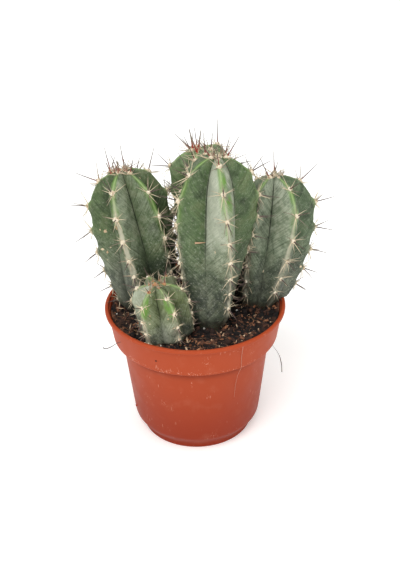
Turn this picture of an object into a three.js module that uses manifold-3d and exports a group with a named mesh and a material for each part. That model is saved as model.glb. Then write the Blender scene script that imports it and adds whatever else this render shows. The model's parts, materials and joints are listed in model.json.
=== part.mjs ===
// A clump of five ribbed column cactus stems growing in peat in a 12 cm nursery pot.
// Millimetres, +Z up. The origin is the centre of the pot's flat underside, and -Y is the front.

import * as THREE from 'three';
import { mergeVertices } from 'three/addons/utils/BufferGeometryUtils.js';
import Module from 'manifold-3d';

const wasm = await Module();
wasm.setup();

// Pot
const POT_HEIGHT = 93;
const RIM_RADIUS = 60;
const LIP_HEIGHT = 2.6;
const LIP_INSET = 2.4;
const EDGE_ROUNDING = 0.5;
const COLLAR_TOP_RADIUS = 58.4;
const COLLAR_BOTTOM_RADIUS = 55.2;
const COLLAR_BOTTOM = 71.2;
const WALL_TOP_RADIUS = 50;
const WALL_BOTTOM_RADIUS = 43.4;
const CHAMFER_TOP = 10.5;
const FOOT_RADIUS = 38;
const FOOT_HEIGHT = 3.6;
const FLOOR_THICKNESS = 2.2;
const WALL_THICKNESS = 1.4;
const POT_SIDES = 36;
const DRAIN_HOLES = 6;
const DRAIN_RADIUS = 3.2;
const DRAIN_CIRCLE = 29;
const DRAIN_SIDES = 8;

// Soil: its level in the middle and at the wall, and its bumps
const SOIL_LEVEL = 87.2;
const SOIL_EDGE_LEVEL = 86;
const SOIL_EDGE_FROM = 44;
const SOIL_EDGE_TO = 56;
const SOIL_RELIEF = 0.9;
const COARSE_BUMP = 31;
const FINE_BUMP = 17;
const SOIL_SIDES = 32;
const SOIL_RINGS = 5;
const GAP = 0.35;

// Stems: where they leave the soil, how deep their root ends go, and the holes they stand in
const STEM_LEVEL = 87.6;
const ROOT_SHOULDER = 83;
const ROOT_DEPTH = 76;
const ROOT_TAPER = 0.8;
const HOLE_CLEARANCE = 1.1;
const HOLE_FLARE = 5;
const HOLE_MOUTH_RISE = 1.2;
const HOLE_SIDES = 16;

// The pot's wall holds in a rib that leans on it: how far out the wall lets it come at soil level, and
// how that grows with the height
const WALL_ROOM_RADIUS = 55.2;
const WALL_ROOM_SLOPE = 0.25;

// Ribs: valley radius as a share of the rib radius at the base and where the stem is full, the swelling
// of the flanks, the rounding of the crests, and the bumps under the spine cushions
const FOOT_SHARE = 0.1;
const REACH_POWER = 0.6;
const VALLEY_AT_BASE = 0.86;
const VALLEY_AT_TOP = 0.52;
const VALLEY_FULL_AT = 0.7;
const FLANK_BULGE = 0.055;
const CREST_HALF_WIDTH = 1.1;
const CREST_ROUNDING = 0.05;
const CREST_FADE_RADIUS = 8;
const AREOLE_RISE = 0.9;
const SHOULDER_FLANK = 0.14;
const MIDDLE_FLANK = 0.52;
const CROWN_ROW = 0.4;
const FOOT_ROW = 0.02;

// Spine cushions: how their distance shrinks down the rib, the lowest one, and their size
const CUSHION_STEP_FALL = 0.09;
const CUSHION_STEP_LEAST = 0.6;
const LOWEST_CUSHION = 0.05;
const CUSHION_RADIUS = 1.15;
const CUSHION_DEPTH = 1.1;

// Spines: least and greatest of each draw. Tilt, sway and lift are slopes, turn is a share of the
// angle between neighbouring radial spines, and old spines lower on a rib are shorter.
const SPINE_ROOT_RADIUS = 0.62;
const SPINE_SINK = 1.8;
const CENTRAL_LENGTH = [12.8, 17.8];
const CENTRAL_TILT = [-0.5, 0.3];
const CENTRAL_SWAY = [-0.25, 0.25];
const RADIALS = 3;
const RADIAL_LENGTH = [7.2, 10.8];
const RADIAL_TURN = [-0.125, 0.125];
const RADIAL_LIFT = [0.45, 0.7];
const OLD_SPINE_LOSS = 0.35;
const OLD_CUSHION = 6;
const FIRST_SEED = 7001;
const SEED_STEP = 131;

// Clearances that keep spines off everything but their own stem
const SPINE_CLEARANCE = 1.3;
const BODY_CLEARANCE = 0.8;
const SOIL_CLEARANCE = 1.5;
const RIM_CLEARANCE = 2;
const SHARE_BELOW_STEM = -0.2;
const SHARE_ABOVE_STEM = 1.02;
const TOP_SHARE = 0.995;

// Each stem: where its middle line leaves the soil and ends, how far that line bows sideways, the radius
// of its root end, how much its foot draws in, its rib radius low down and at its fullest, the shape of
// its swelling and of its dome, the first distance between spine cushions and the scale of its spines.
// Each rib: its direction at the base and at the top in degrees (0 is the front, 90 is +X), its reach at
// the base and at the top as a share of the rib radius, and the distance along the crest from the tip of
// the stem to its first spine cushion.
const STEMS = [
  {
    name: 'stem_left',
    base: [-31, 3],
    top: [-44.8, 12, 182.5],
    bow: [1, 0.2],
    rootRadius: 12,
    footTuck: 0.2,
    baseRadius: 16.2,
    fullRadius: 26.2,
    fullAt: 0.61,
    swell: 1.1,
    domeFrom: 0.675,
    domePower: 2.45,
    domeRoot: 2.35,
    cushionStep: 18.5,
    spineScale: 1,
    ribs: [
      { from: -82, to: -83, reachFrom: 1.01, reachTo: 1.02, first: 15 },
      { from: -2, to: -18, reachFrom: 0.98, reachTo: 1.02, first: 3 },
      { from: 58, to: 42, reachFrom: 1.05, reachTo: 0.98, first: 8 },
      { from: 104, to: 103, reachFrom: 0.97, reachTo: 0.99, first: 17 },
      { from: 163, to: 162, reachFrom: 1, reachTo: 1, first: 5 },
      { from: -141, to: -139, reachFrom: 1, reachTo: 1, first: 11 },
    ],
  },
  {
    name: 'stem_centre',
    base: [9.2, -17],
    top: [15.5, -6.3, 198],
    bow: [-0.4, 2.2],
    rootRadius: 11,
    footTuck: 0.28,
    baseRadius: 15,
    fullRadius: 27.7,
    fullAt: 0.71,
    swell: 1.37,
    domeFrom: 0.64,
    domePower: 2.4,
    domeRoot: 2.18,
    cushionStep: 18.5,
    spineScale: 1,
    ribs: [
      { from: -55, to: -60, reachFrom: 0.97, reachTo: 0.98, first: 3.5 },
      { from: 40, to: 4, reachFrom: 1.1, reachTo: 0.98, first: 10.5 },
      { from: 114, to: 90, reachFrom: 0.68, reachTo: 1.07, first: 4.5 },
      { from: 164, to: 158, reachFrom: 0.95, reachTo: 0.92, first: 13 },
      { from: -124, to: -132, reachFrom: 0.95, reachTo: 0.95, first: 9 },
    ],
  },
  {
    name: 'stem_right',
    base: [43.2, 12],
    top: [52.4, 20, 174],
    bow: [1.7, 0],
    rootRadius: 7.5,
    footTuck: 0.1,
    baseRadius: 18,
    fullRadius: 29.8,
    fullAt: 0.65,
    swell: 1.1,
    domeFrom: 0.67,
    domePower: 2.4,
    domeRoot: 2.1,
    cushionStep: 18.5,
    spineScale: 1,
    ribs: [
      { from: -36, to: -42, reachFrom: 0.95, reachTo: 0.72, first: 4 },
      { from: 17, to: 30, reachFrom: 0.88, reachTo: 1, first: 17.5 },
      { from: 70, to: 101, reachFrom: 0.93, reachTo: 0.98, first: 17 },
      { from: 165, to: 174, reachFrom: 0.8, reachTo: 0.95, first: 10 },
      { from: -122, to: -112, reachFrom: 0.9, reachTo: 0.62, first: 12 },
    ],
  },
  {
    name: 'stem_back',
    base: [8.7, 34],
    top: [4.6, 32, 188.5],
    bow: [2.7, 0.2],
    rootRadius: 12,
    footTuck: 0.2,
    baseRadius: 15.9,
    fullRadius: 23.2,
    fullAt: 0.75,
    swell: 1.3,
    domeFrom: 0.82,
    domePower: 2.4,
    domeRoot: 2.1,
    cushionStep: 18.5,
    spineScale: 1,
    ribs: [
      { from: -88, to: -87, reachFrom: 0.96, reachTo: 0.97, first: 4 },
      { from: -14, to: -14, reachFrom: 0.9, reachTo: 0.9, first: 12 },
      { from: 48, to: 66, reachFrom: 0.76, reachTo: 1.08, first: 7 },
      { from: 130, to: 130, reachFrom: 1, reachTo: 1, first: 15 },
      { from: -160, to: -160, reachFrom: 1, reachTo: 1, first: 3 },
    ],
  },
  {
    name: 'stem_front_pup',
    base: [-18.6, -33],
    top: [-23.8, -34.4, 126],
    bow: [0.4, 1],
    rootRadius: 12,
    footTuck: 0.22,
    baseRadius: 16.2,
    fullRadius: 18.6,
    fullAt: 0.7,
    swell: 1.25,
    domeFrom: 0.68,
    domePower: 2.4,
    domeRoot: 2.15,
    cushionStep: 11.5,
    spineScale: 0.6,
    ribs: [
      { from: -107, to: -101, reachFrom: 0.9, reachTo: 0.96, first: 12 },
      { from: -37, to: -32, reachFrom: 1, reachTo: 1.03, first: 6.5 },
      { from: 31, to: 29, reachFrom: 1.04, reachTo: 1.01, first: 13.5 },
      { from: 86, to: 85, reachFrom: 1.1, reachTo: 0.91, first: 4.5 },
      { from: 147, to: 147, reachFrom: 1, reachTo: 1.03, first: 10 },
      { from: -159, to: -157, reachFrom: 1, reachTo: 1.05, first: 15 },
    ],
  },
];

const SURFACES = {
  pot: { color: '#c4593b', roughness: 0.45 },
  soil: { color: '#3b2a20', roughness: 1 },
  stem_left: { color: '#5d7350', roughness: 0.6 },
  stem_centre: { color: '#5c7260', roughness: 0.6 },
  stem_right: { color: '#5f7460', roughness: 0.6 },
  stem_back: { color: '#587048', roughness: 0.6 },
  stem_front_pup: { color: '#6b8355', roughness: 0.6 },
};

const { lerp, smoothstep, clamp, degToRad } = THREE.MathUtils;

// Numbers from 0 to 1 that come out the same in every run
function makeRandom(seed) {
  let state = seed;
  return () => {
    state = (state * 16807) % 2147483647;
    return state / 2147483647;
  };
}

function draw(random, [least, greatest]) {
  return lerp(least, greatest, random());
}

function solidFrom(vertices, triangles) {
  const mesh = new wasm.Mesh({
    numProp: 3,
    vertProperties: new Float32Array(vertices.flat()),
    triVerts: new Uint32Array(triangles.flat()),
  });
  return new wasm.Manifold(mesh);
}

function solidFromGeometry(geometry) {
  const bare = geometry.clone();
  bare.deleteAttribute('normal');
  bare.deleteAttribute('uv');
  const merged = mergeVertices(bare, 1e-4);
  const mesh = new wasm.Mesh({
    numProp: 3,
    vertProperties: new Float32Array(merged.attributes.position.array),
    triVerts: new Uint32Array(merged.index.array),
  });
  return new wasm.Manifold(mesh);
}

function meshFromSolid(name, solid) {
  const result = solid.getMesh();
  const geometry = new THREE.BufferGeometry();
  geometry.setAttribute('position', new THREE.BufferAttribute(result.vertProperties, 3));
  geometry.setIndex(new THREE.BufferAttribute(result.triVerts, 1));
  geometry.computeVertexNormals();
  const mesh = new THREE.Mesh(geometry, new THREE.MeshStandardMaterial({ ...SURFACES[name], metalness: 0 }));
  mesh.name = name;
  return mesh;
}

// A closed solid from rings of points with a pole point below the first ring and one above the last
function solidFromRings(rings, bottomPole, topPole) {
  const count = rings[0].length;
  const vertices = [bottomPole, ...rings.flat(), topPole];
  const last = vertices.length - 1;
  const triangles = [];
  const at = (row, column) => 1 + row * count + (column % count);
  for (let column = 0; column < count; column += 1) {
    triangles.push([0, at(0, column + 1), at(0, column)]);
    triangles.push([last, at(rings.length - 1, column), at(rings.length - 1, column + 1)]);
    for (let row = 0; row < rings.length - 1; row += 1) {
      triangles.push([at(row, column), at(row, column + 1), at(row + 1, column + 1)]);
      triangles.push([at(row, column), at(row + 1, column + 1), at(row + 1, column)]);
    }
  }
  return solidFrom(vertices, triangles);
}

// A solid turned about the upright axis from an outline of radius and height
function turnedSolid(outline, sides, x = 0, y = 0) {
  const points = outline.map(([radius, height]) => new THREE.Vector2(radius, height));
  const geometry = new THREE.LatheGeometry(points, sides);
  geometry.rotateX(Math.PI / 2);
  geometry.translate(x, y, 0);
  return solidFromGeometry(geometry);
}

// Pot

function collarRadiusAt(z) {
  const share = (z - COLLAR_BOTTOM) / (POT_HEIGHT - COLLAR_BOTTOM);
  return lerp(COLLAR_BOTTOM_RADIUS, COLLAR_TOP_RADIUS, share);
}

// The inside of the pot from the floor to the lip, as radius and height
function insideProfile() {
  const lipBottom = POT_HEIGHT - LIP_HEIGHT;
  const stepTop = COLLAR_BOTTOM + WALL_THICKNESS;
  return [
    [FOOT_RADIUS - WALL_THICKNESS, FLOOR_THICKNESS],
    [FOOT_RADIUS - WALL_THICKNESS, FOOT_HEIGHT + EDGE_ROUNDING],
    [WALL_BOTTOM_RADIUS - WALL_THICKNESS, CHAMFER_TOP + EDGE_ROUNDING],
    [WALL_TOP_RADIUS - WALL_THICKNESS, stepTop - EDGE_ROUNDING],
    [WALL_TOP_RADIUS, stepTop + EDGE_ROUNDING],
    [COLLAR_BOTTOM_RADIUS - WALL_THICKNESS, stepTop + 2 * EDGE_ROUNDING],
    [collarRadiusAt(lipBottom) - WALL_THICKNESS, lipBottom],
  ];
}

function makePot() {
  const lipBottom = POT_HEIGHT - LIP_HEIGHT;
  const collarTop = lipBottom - EDGE_ROUNDING;
  const lipInner = RIM_RADIUS - LIP_INSET;
  const outside = [
    [0, 0],
    [FOOT_RADIUS, 0],
    [FOOT_RADIUS, FOOT_HEIGHT],
    [WALL_BOTTOM_RADIUS, CHAMFER_TOP],
    [WALL_TOP_RADIUS, COLLAR_BOTTOM],
    [COLLAR_BOTTOM_RADIUS - EDGE_ROUNDING, COLLAR_BOTTOM],
    [COLLAR_BOTTOM_RADIUS, COLLAR_BOTTOM + EDGE_ROUNDING],
    [collarRadiusAt(collarTop), collarTop],
    [RIM_RADIUS - EDGE_ROUNDING, lipBottom],
    [RIM_RADIUS, lipBottom + LIP_HEIGHT / 2],
    [RIM_RADIUS - EDGE_ROUNDING, POT_HEIGHT - EDGE_ROUNDING],
    [RIM_RADIUS - LIP_INSET / 2, POT_HEIGHT],
    [lipInner + EDGE_ROUNDING, POT_HEIGHT - EDGE_ROUNDING],
    [lipInner, POT_HEIGHT - 2 * EDGE_ROUNDING],
  ];
  const outline = [...outside, ...insideProfile().reverse(), [0, FLOOR_THICKNESS]];
  let solid = turnedSolid(outline, POT_SIDES);
  const drillOutline = [[0, -FLOOR_THICKNESS], [DRAIN_RADIUS, -FLOOR_THICKNESS]];
  drillOutline.push([DRAIN_RADIUS, 2 * FLOOR_THICKNESS], [0, 2 * FLOOR_THICKNESS]);
  for (let hole = 0; hole < DRAIN_HOLES; hole += 1) {
    const angle = (2 * Math.PI * (hole + 0.5)) / DRAIN_HOLES;
    const x = DRAIN_CIRCLE * Math.cos(angle);
    const y = DRAIN_CIRCLE * Math.sin(angle);
    solid = solid.subtract(turnedSolid(drillOutline, DRAIN_SIDES, x, y));
  }
  return meshFromSolid('pot', solid);
}

// Soil

// Crossed waves of a given length, from -1 to 1
function bumps(x, y, length) {
  const turn = (2 * Math.PI) / length;
  return Math.sin(turn * x + 1) * Math.cos(turn * y - 1);
}

function soilHeight(x, y) {
  const edge = smoothstep(Math.hypot(x, y), SOIL_EDGE_FROM, SOIL_EDGE_TO);
  const relief = 0.6 * bumps(x, y, COARSE_BUMP) + 0.4 * bumps(x - y, x + y, FINE_BUMP);
  return lerp(SOIL_LEVEL + SOIL_RELIEF * relief, SOIL_EDGE_LEVEL, edge);
}

function makeSoil() {
  const ringAt = (radius, height) => {
    const ring = [];
    for (let side = 0; side < SOIL_SIDES; side += 1) {
      const angle = (2 * Math.PI * side) / SOIL_SIDES;
      const x = radius * Math.cos(angle);
      const y = radius * Math.sin(angle);
      ring.push([x, y, height ?? soilHeight(x, y)]);
    }
    return ring;
  };
  // A polygon of few sides lies inside its circle, so the facets of the pot's wall need a wider gap
  const sideGap = GAP + RIM_RADIUS * (1 - Math.cos(Math.PI / POT_SIDES));
  const profile = insideProfile();
  const rings = profile.slice(0, -1).map(([radius, height]) => ringAt(radius - sideGap, height + GAP));
  const [collarRadius, collarHeight] = profile[profile.length - 2];
  const [lipRadius, lipHeight] = profile[profile.length - 1];
  const share = (SOIL_EDGE_LEVEL - collarHeight) / (lipHeight - collarHeight);
  const edgeRadius = lerp(collarRadius, lipRadius, share) - sideGap;
  for (let ring = SOIL_RINGS; ring > 0; ring -= 1) {
    rings.push(ringAt((edgeRadius * ring) / SOIL_RINGS));
  }
  let solid = solidFromRings(rings, [0, 0, FLOOR_THICKNESS + GAP], [0, 0, soilHeight(0, 0)]);
  for (const stem of STEMS) {
    const radius = stem.rootRadius + HOLE_CLEARANCE;
    const mouthLevel = STEM_LEVEL + HOLE_MOUTH_RISE;
    const outline = [
      [0, ROOT_DEPTH - GAP],
      [radius, ROOT_DEPTH - GAP],
      [radius, ROOT_SHOULDER - GAP],
      [stem.baseRadius + HOLE_FLARE, mouthLevel],
      [0, mouthLevel],
    ];
    solid = solid.subtract(turnedSolid(outline, HOLE_SIDES, ...stem.base));
  }
  return meshFromSolid('soil', solid);
}

// Stems

// The stem's middle line at a share of its height, with the directions along it, right of it and in
// front of it
function stemFrame(stem, share) {
  const base = new THREE.Vector3(...stem.base, STEM_LEVEL);
  const rise = new THREE.Vector3(...stem.top).sub(base);
  const bow = new THREE.Vector3(...stem.bow, 0);
  const centre = base.clone().addScaledVector(rise, share).addScaledVector(bow, 4 * share * (1 - share));
  const along = rise.clone().addScaledVector(bow, 4 * (1 - 2 * share)).normalize();
  const right = new THREE.Vector3(1, 0, 0).addScaledVector(along, -along.x).normalize();
  const front = new THREE.Vector3().crossVectors(right, along);
  return { centre, along, right, front };
}

function stemRadius(stem, share) {
  const growth = Math.sin((clamp(share / stem.fullAt, 0, 1) * Math.PI) / 2) ** stem.swell;
  const body = lerp(stem.baseRadius, stem.fullRadius, growth);
  const up = clamp((share - stem.domeFrom) / (1 - stem.domeFrom), 0, 1);
  const dome = Math.max(1 - up ** stem.domePower, 0) ** (1 / stem.domeRoot);
  const low = Math.max(1 - share / FOOT_SHARE, 0);
  return body * dome * (1 - stem.footTuck * low * low);
}

function ribAt(rib, share) {
  return {
    angle: degToRad(lerp(rib.from, rib.to, share)),
    reach: lerp(rib.reachFrom, rib.reachTo, share ** REACH_POWER),
  };
}

function pointAround(angle, radius) {
  return new THREE.Vector2(Math.sin(angle), Math.cos(angle)).multiplyScalar(radius);
}

// A point in the stem's cross-section: flank 0 is the crest of a rib and flank 1 the bottom of the valley
// on its side (side -1 or 1)
function sectionPoint(stem, ribIndex, side, flank, share, rise) {
  const count = stem.ribs.length;
  const rib = ribAt(stem.ribs[ribIndex], share);
  const next = ribAt(stem.ribs[(ribIndex + side + count) % count], share);
  const radius = stemRadius(stem, share);
  let turn = next.angle - rib.angle;
  while (turn * side < 0) {
    turn += side * 2 * Math.PI;
  }
  while (turn * side > 2 * Math.PI) {
    turn -= side * 2 * Math.PI;
  }
  const depth = lerp(VALLEY_AT_BASE, VALLEY_AT_TOP, smoothstep(share, 0, VALLEY_FULL_AT));
  const crest = pointAround(rib.angle, radius * rib.reach + rise);
  const valley = pointAround(rib.angle + turn / 2, (radius * depth * (rib.reach + next.reach)) / 2);
  const outward = new THREE.Vector2(crest.y - valley.y, valley.x - crest.x).setLength(side);
  const rounding = (1 - Math.exp(-flank / CREST_ROUNDING)) * Math.min(radius / CREST_FADE_RADIUS, 1);
  const shoulder = CREST_HALF_WIDTH * rounding * (1 - flank);
  const bulge = 4 * flank * (1 - flank) * FLANK_BULGE * radius;
  return crest.lerp(valley, flank).addScaledVector(outward, shoulder + bulge);
}

function stemPoint(stem, ribIndex, side, flank, share, rise = 0) {
  const { centre, right, front } = stemFrame(stem, share);
  const point = sectionPoint(stem, ribIndex, side, flank, share, rise);
  return centre.addScaledVector(right, point.x).addScaledVector(front, point.y);
}

// Shares of the stem's height where a rib carries a spine cushion, from the tip down
function areoleShares(stem, rib, ribIndex) {
  const shares = [];
  const steps = 400;
  let travelled = 0;
  let target = rib.first;
  let step = stem.cushionStep;
  let previous = stemPoint(stem, ribIndex, 1, 0, 1);
  for (let index = 1; index <= steps; index += 1) {
    // The steps are short near the tip, where the crest runs almost level
    const share = 1 - (index / steps) ** 2;
    const point = stemPoint(stem, ribIndex, 1, 0, share);
    travelled += point.distanceTo(previous);
    previous = point;
    if (travelled >= target && share > LOWEST_CUSHION) {
      shares.push(share);
      target += step;
      step = stem.cushionStep * Math.max(step / stem.cushionStep - CUSHION_STEP_FALL, CUSHION_STEP_LEAST);
    }
  }
  return shares;
}

// Heights of the rows of points on a crest: one at each cushion and one between cushions
function crestRows(stem, rib, ribIndex, rowCount) {
  const areoles = areoleShares(stem, rib, ribIndex);
  const marks = [{ share: lerp(1, areoles[0], CROWN_ROW), raised: false }];
  areoles.forEach((share, index) => {
    const below = areoles[index + 1] ?? FOOT_ROW;
    marks.push({ share, raised: true }, { share: (share + below) / 2, raised: false });
  });
  while (marks.length < rowCount) {
    const gaps = marks.map((mark, index) => (index ? marks[index - 1].share - mark.share : 0));
    const widest = gaps.indexOf(Math.max(...gaps));
    const between = (marks[widest - 1].share + marks[widest].share) / 2;
    marks.splice(widest, 0, { share: between, raised: false });
  }
  return marks.slice(0, rowCount).reverse();
}

// The columns of points from one crest across the valley to the next one
const FLANKS = [
  { side: 1, flank: 0 },
  { side: 1, flank: SHOULDER_FLANK },
  { side: 1, flank: MIDDLE_FLANK },
  { side: 1, flank: 1 },
  { side: -1, flank: MIDDLE_FLANK, next: true },
  { side: -1, flank: SHOULDER_FLANK, next: true },
];

function makeStemBody(stem) {
  const counts = stem.ribs.map((rib, index) => 2 * areoleShares(stem, rib, index).length + 1);
  const rowCount = Math.max(...counts);
  const columns = [];
  stem.ribs.forEach((rib, ribIndex) => {
    const rows = crestRows(stem, rib, ribIndex, rowCount);
    const nextIndex = (ribIndex + 1) % stem.ribs.length;
    const nextRows = crestRows(stem, stem.ribs[nextIndex], nextIndex, rowCount);
    for (const { side, flank, next } of FLANKS) {
      const index = next ? nextIndex : ribIndex;
      const column = (next ? nextRows : rows).map((mark, row) => {
        const even = (rows[row].share + nextRows[row].share) / 2;
        const rise = mark.raised && flank <= SHOULDER_FLANK ? AREOLE_RISE * (1 - flank) : 0;
        return stemPoint(stem, index, side, flank, lerp(mark.share, even, flank), rise);
      });
      columns.push([stemPoint(stem, index, side, flank, 0), ...column]);
    }
  });
  const [baseX, baseY] = stem.base;
  const rootRing = (height, radius) => columns.map(([foot]) => {
    const away = new THREE.Vector2(foot.x - baseX, foot.y - baseY).setLength(radius);
    return [baseX + away.x, baseY + away.y, height];
  });
  const rings = [
    rootRing(ROOT_DEPTH, stem.rootRadius * ROOT_TAPER),
    rootRing(ROOT_SHOULDER, stem.rootRadius),
  ];
  for (let row = 0; row < columns[0].length; row += 1) {
    rings.push(columns.map((column) => column[row].toArray()));
  }
  return solidFromRings(rings, [baseX, baseY, ROOT_DEPTH], stem.top);
}

// The room that the pot leaves the stems: the inside of its wall, and all above its rim
function makeStemRoom() {
  const bottom = ROOT_DEPTH - GAP;
  const rim = POT_HEIGHT + GAP;
  const top = 3 * POT_HEIGHT;
  const radiusAt = (height) => WALL_ROOM_RADIUS + WALL_ROOM_SLOPE * (height - STEM_LEVEL);
  const outline = [
    [0, bottom],
    [radiusAt(bottom), bottom],
    [radiusAt(rim), rim],
    [2 * RIM_RADIUS, rim],
    [2 * RIM_RADIUS, top],
    [0, top],
  ];
  return turnedSolid(outline, POT_SIDES);
}

// Every spine of a stem, as a root point, a direction and a length
function stemSpines(stem, seed) {
  const random = makeRandom(seed);
  const spines = [];
  stem.ribs.forEach((rib, ribIndex) => {
    areoleShares(stem, rib, ribIndex).forEach((share, order) => {
      const cushion = stemPoint(stem, ribIndex, 1, 0, share, AREOLE_RISE);
      const above = stemPoint(stem, ribIndex, 1, 0, Math.min(share + 0.01, 1));
      const below = stemPoint(stem, ribIndex, 1, 0, share - 0.01);
      const up = above.sub(below).normalize();
      const out = cushion.clone().sub(stemFrame(stem, share).centre);
      out.addScaledVector(up, -out.dot(up)).normalize();
      const across = new THREE.Vector3().crossVectors(up, out);
      const size = stem.spineScale * (1 - OLD_SPINE_LOSS * Math.min(order / OLD_CUSHION, 1));
      const tilt = draw(random, CENTRAL_TILT);
      const sway = draw(random, CENTRAL_SWAY);
      spines.push({
        root: cushion.clone().addScaledVector(out, -CUSHION_DEPTH / 2),
        direction: out.clone().addScaledVector(up, tilt).addScaledVector(across, sway).normalize(),
        length: size * draw(random, CENTRAL_LENGTH),
      });
      for (let radial = 0; radial < RADIALS; radial += 1) {
        const turn = (2 * Math.PI * (radial + draw(random, RADIAL_TURN))) / RADIALS - Math.PI / 2;
        const lift = draw(random, RADIAL_LIFT);
        const sideways = across.clone().multiplyScalar(Math.cos(turn)).addScaledVector(up, Math.sin(turn));
        const edge = cushion.clone().addScaledVector(sideways, CUSHION_RADIUS);
        spines.push({
          root: edge.addScaledVector(out, -CUSHION_DEPTH),
          direction: sideways.clone().addScaledVector(out, lift).normalize(),
          length: size * draw(random, RADIAL_LENGTH),
        });
      }
    });
  });
  return spines;
}

function tipOf(spine) {
  return spine.root.clone().addScaledVector(spine.direction, spine.length);
}

// True where a point lies inside a stem or nearer to it than the clearance
function nearStem(stem, point, clearance) {
  const base = new THREE.Vector3(...stem.base, STEM_LEVEL);
  const rise = new THREE.Vector3(...stem.top).sub(base);
  let share = point.clone().sub(base).dot(rise) / rise.lengthSq();
  const { centre, along, right, front } = stemFrame(stem, clamp(share, 0, 1));
  share += point.clone().sub(centre).dot(along) / rise.length();
  if (share > SHARE_ABOVE_STEM || share < SHARE_BELOW_STEM) {
    return false;
  }
  share = clamp(share, 0, TOP_SHARE);
  const local = point.clone().sub(stemFrame(stem, share).centre);
  const flat = new THREE.Vector2(local.dot(right), local.dot(front));
  const outline = stem.ribs.flatMap((rib, ribIndex) => FLANKS.map(({ side, flank, next }) => {
    const index = next ? (ribIndex + 1) % stem.ribs.length : ribIndex;
    return sectionPoint(stem, index, side, flank, share, flank === 0 ? AREOLE_RISE : 0);
  }));
  let inside = false;
  let nearest = Infinity;
  outline.forEach((a, index) => {
    const b = outline[(index + 1) % outline.length];
    const crossing = a.x + ((b.x - a.x) * (flat.y - a.y)) / (b.y - a.y);
    if ((a.y > flat.y) !== (b.y > flat.y) && flat.x < crossing) {
      inside = !inside;
    }
    const edge = b.clone().sub(a);
    const offset = flat.clone().sub(a);
    const foot = clamp(offset.dot(edge) / edge.lengthSq(), 0, 1);
    nearest = Math.min(nearest, offset.addScaledVector(edge, -foot).length());
  });
  return inside || nearest < clearance;
}

// The least distance between two straight spines
function spineDistance(first, second) {
  const steps = 12;
  const line = new THREE.Line3(second.root, tipOf(second));
  const nearest = new THREE.Vector3();
  let least = Infinity;
  for (let step = 0; step <= steps; step += 1) {
    const point = first.root.clone().addScaledVector(first.direction, (first.length * step) / steps);
    line.closestPointToPoint(point, true, nearest);
    least = Math.min(least, nearest.distanceTo(point));
  }
  return least;
}

function spineIsClear(spine, stem, kept) {
  const steps = 8;
  const others = STEMS.filter((other) => other !== stem);
  for (let step = 1; step <= steps; step += 1) {
    const point = spine.root.clone().addScaledVector(spine.direction, (spine.length * step) / steps);
    const nearSoil = point.z < SOIL_LEVEL + SOIL_CLEARANCE;
    const overRim = Math.hypot(point.x, point.y) > RIM_RADIUS - LIP_INSET - RIM_CLEARANCE;
    const nearRim = overRim && point.z < POT_HEIGHT + RIM_CLEARANCE;
    if (nearSoil || nearRim || others.some((other) => nearStem(other, point, BODY_CLEARANCE))) {
      return false;
    }
  }
  return kept.every((entry) => entry.stem === stem || spineDistance(spine, entry.spine) > SPINE_CLEARANCE);
}

// A three-sided needle from well inside the stem to a sharp tip
function makeSpine(spine) {
  const start = spine.root.clone().addScaledVector(spine.direction, -SPINE_SINK);
  const side = new THREE.Vector3(-spine.direction.y, spine.direction.x, 0);
  if (side.length() < 0.1) {
    side.set(1, 0, 0);
  }
  side.setLength(SPINE_ROOT_RADIUS);
  const other = new THREE.Vector3().crossVectors(spine.direction, side);
  const vertices = [tipOf(spine).toArray()];
  for (let corner = 0; corner < 3; corner += 1) {
    const angle = (2 * Math.PI * corner) / 3;
    const point = start.clone().addScaledVector(side, Math.cos(angle));
    vertices.push(point.addScaledVector(other, Math.sin(angle)).toArray());
  }
  return solidFrom(vertices, [[0, 1, 2], [0, 2, 3], [0, 3, 1], [3, 2, 1]]);
}

function makeStems() {
  const room = makeStemRoom();
  const kept = [];
  return STEMS.map((stem, index) => {
    const spines = stemSpines(stem, FIRST_SEED + SEED_STEP * index);
    const clear = spines.filter((spine) => spineIsClear(spine, stem, kept));
    clear.forEach((spine) => kept.push({ stem, spine }));
    const body = makeStemBody(stem).intersect(room);
    const solid = wasm.Manifold.union([body, ...clear.map(makeSpine)]);
    return meshFromSolid(stem.name, solid);
  });
}

const cactus = new THREE.Group();
cactus.add(makePot(), makeSoil(), ...makeStems());

export default cactus;
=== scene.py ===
"""A clump of ribbed column cactus stems in a nursery pot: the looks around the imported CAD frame.

Lengths are millimetres here and metres in Blender. The front is -Y and up is +Z.
"""

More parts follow.
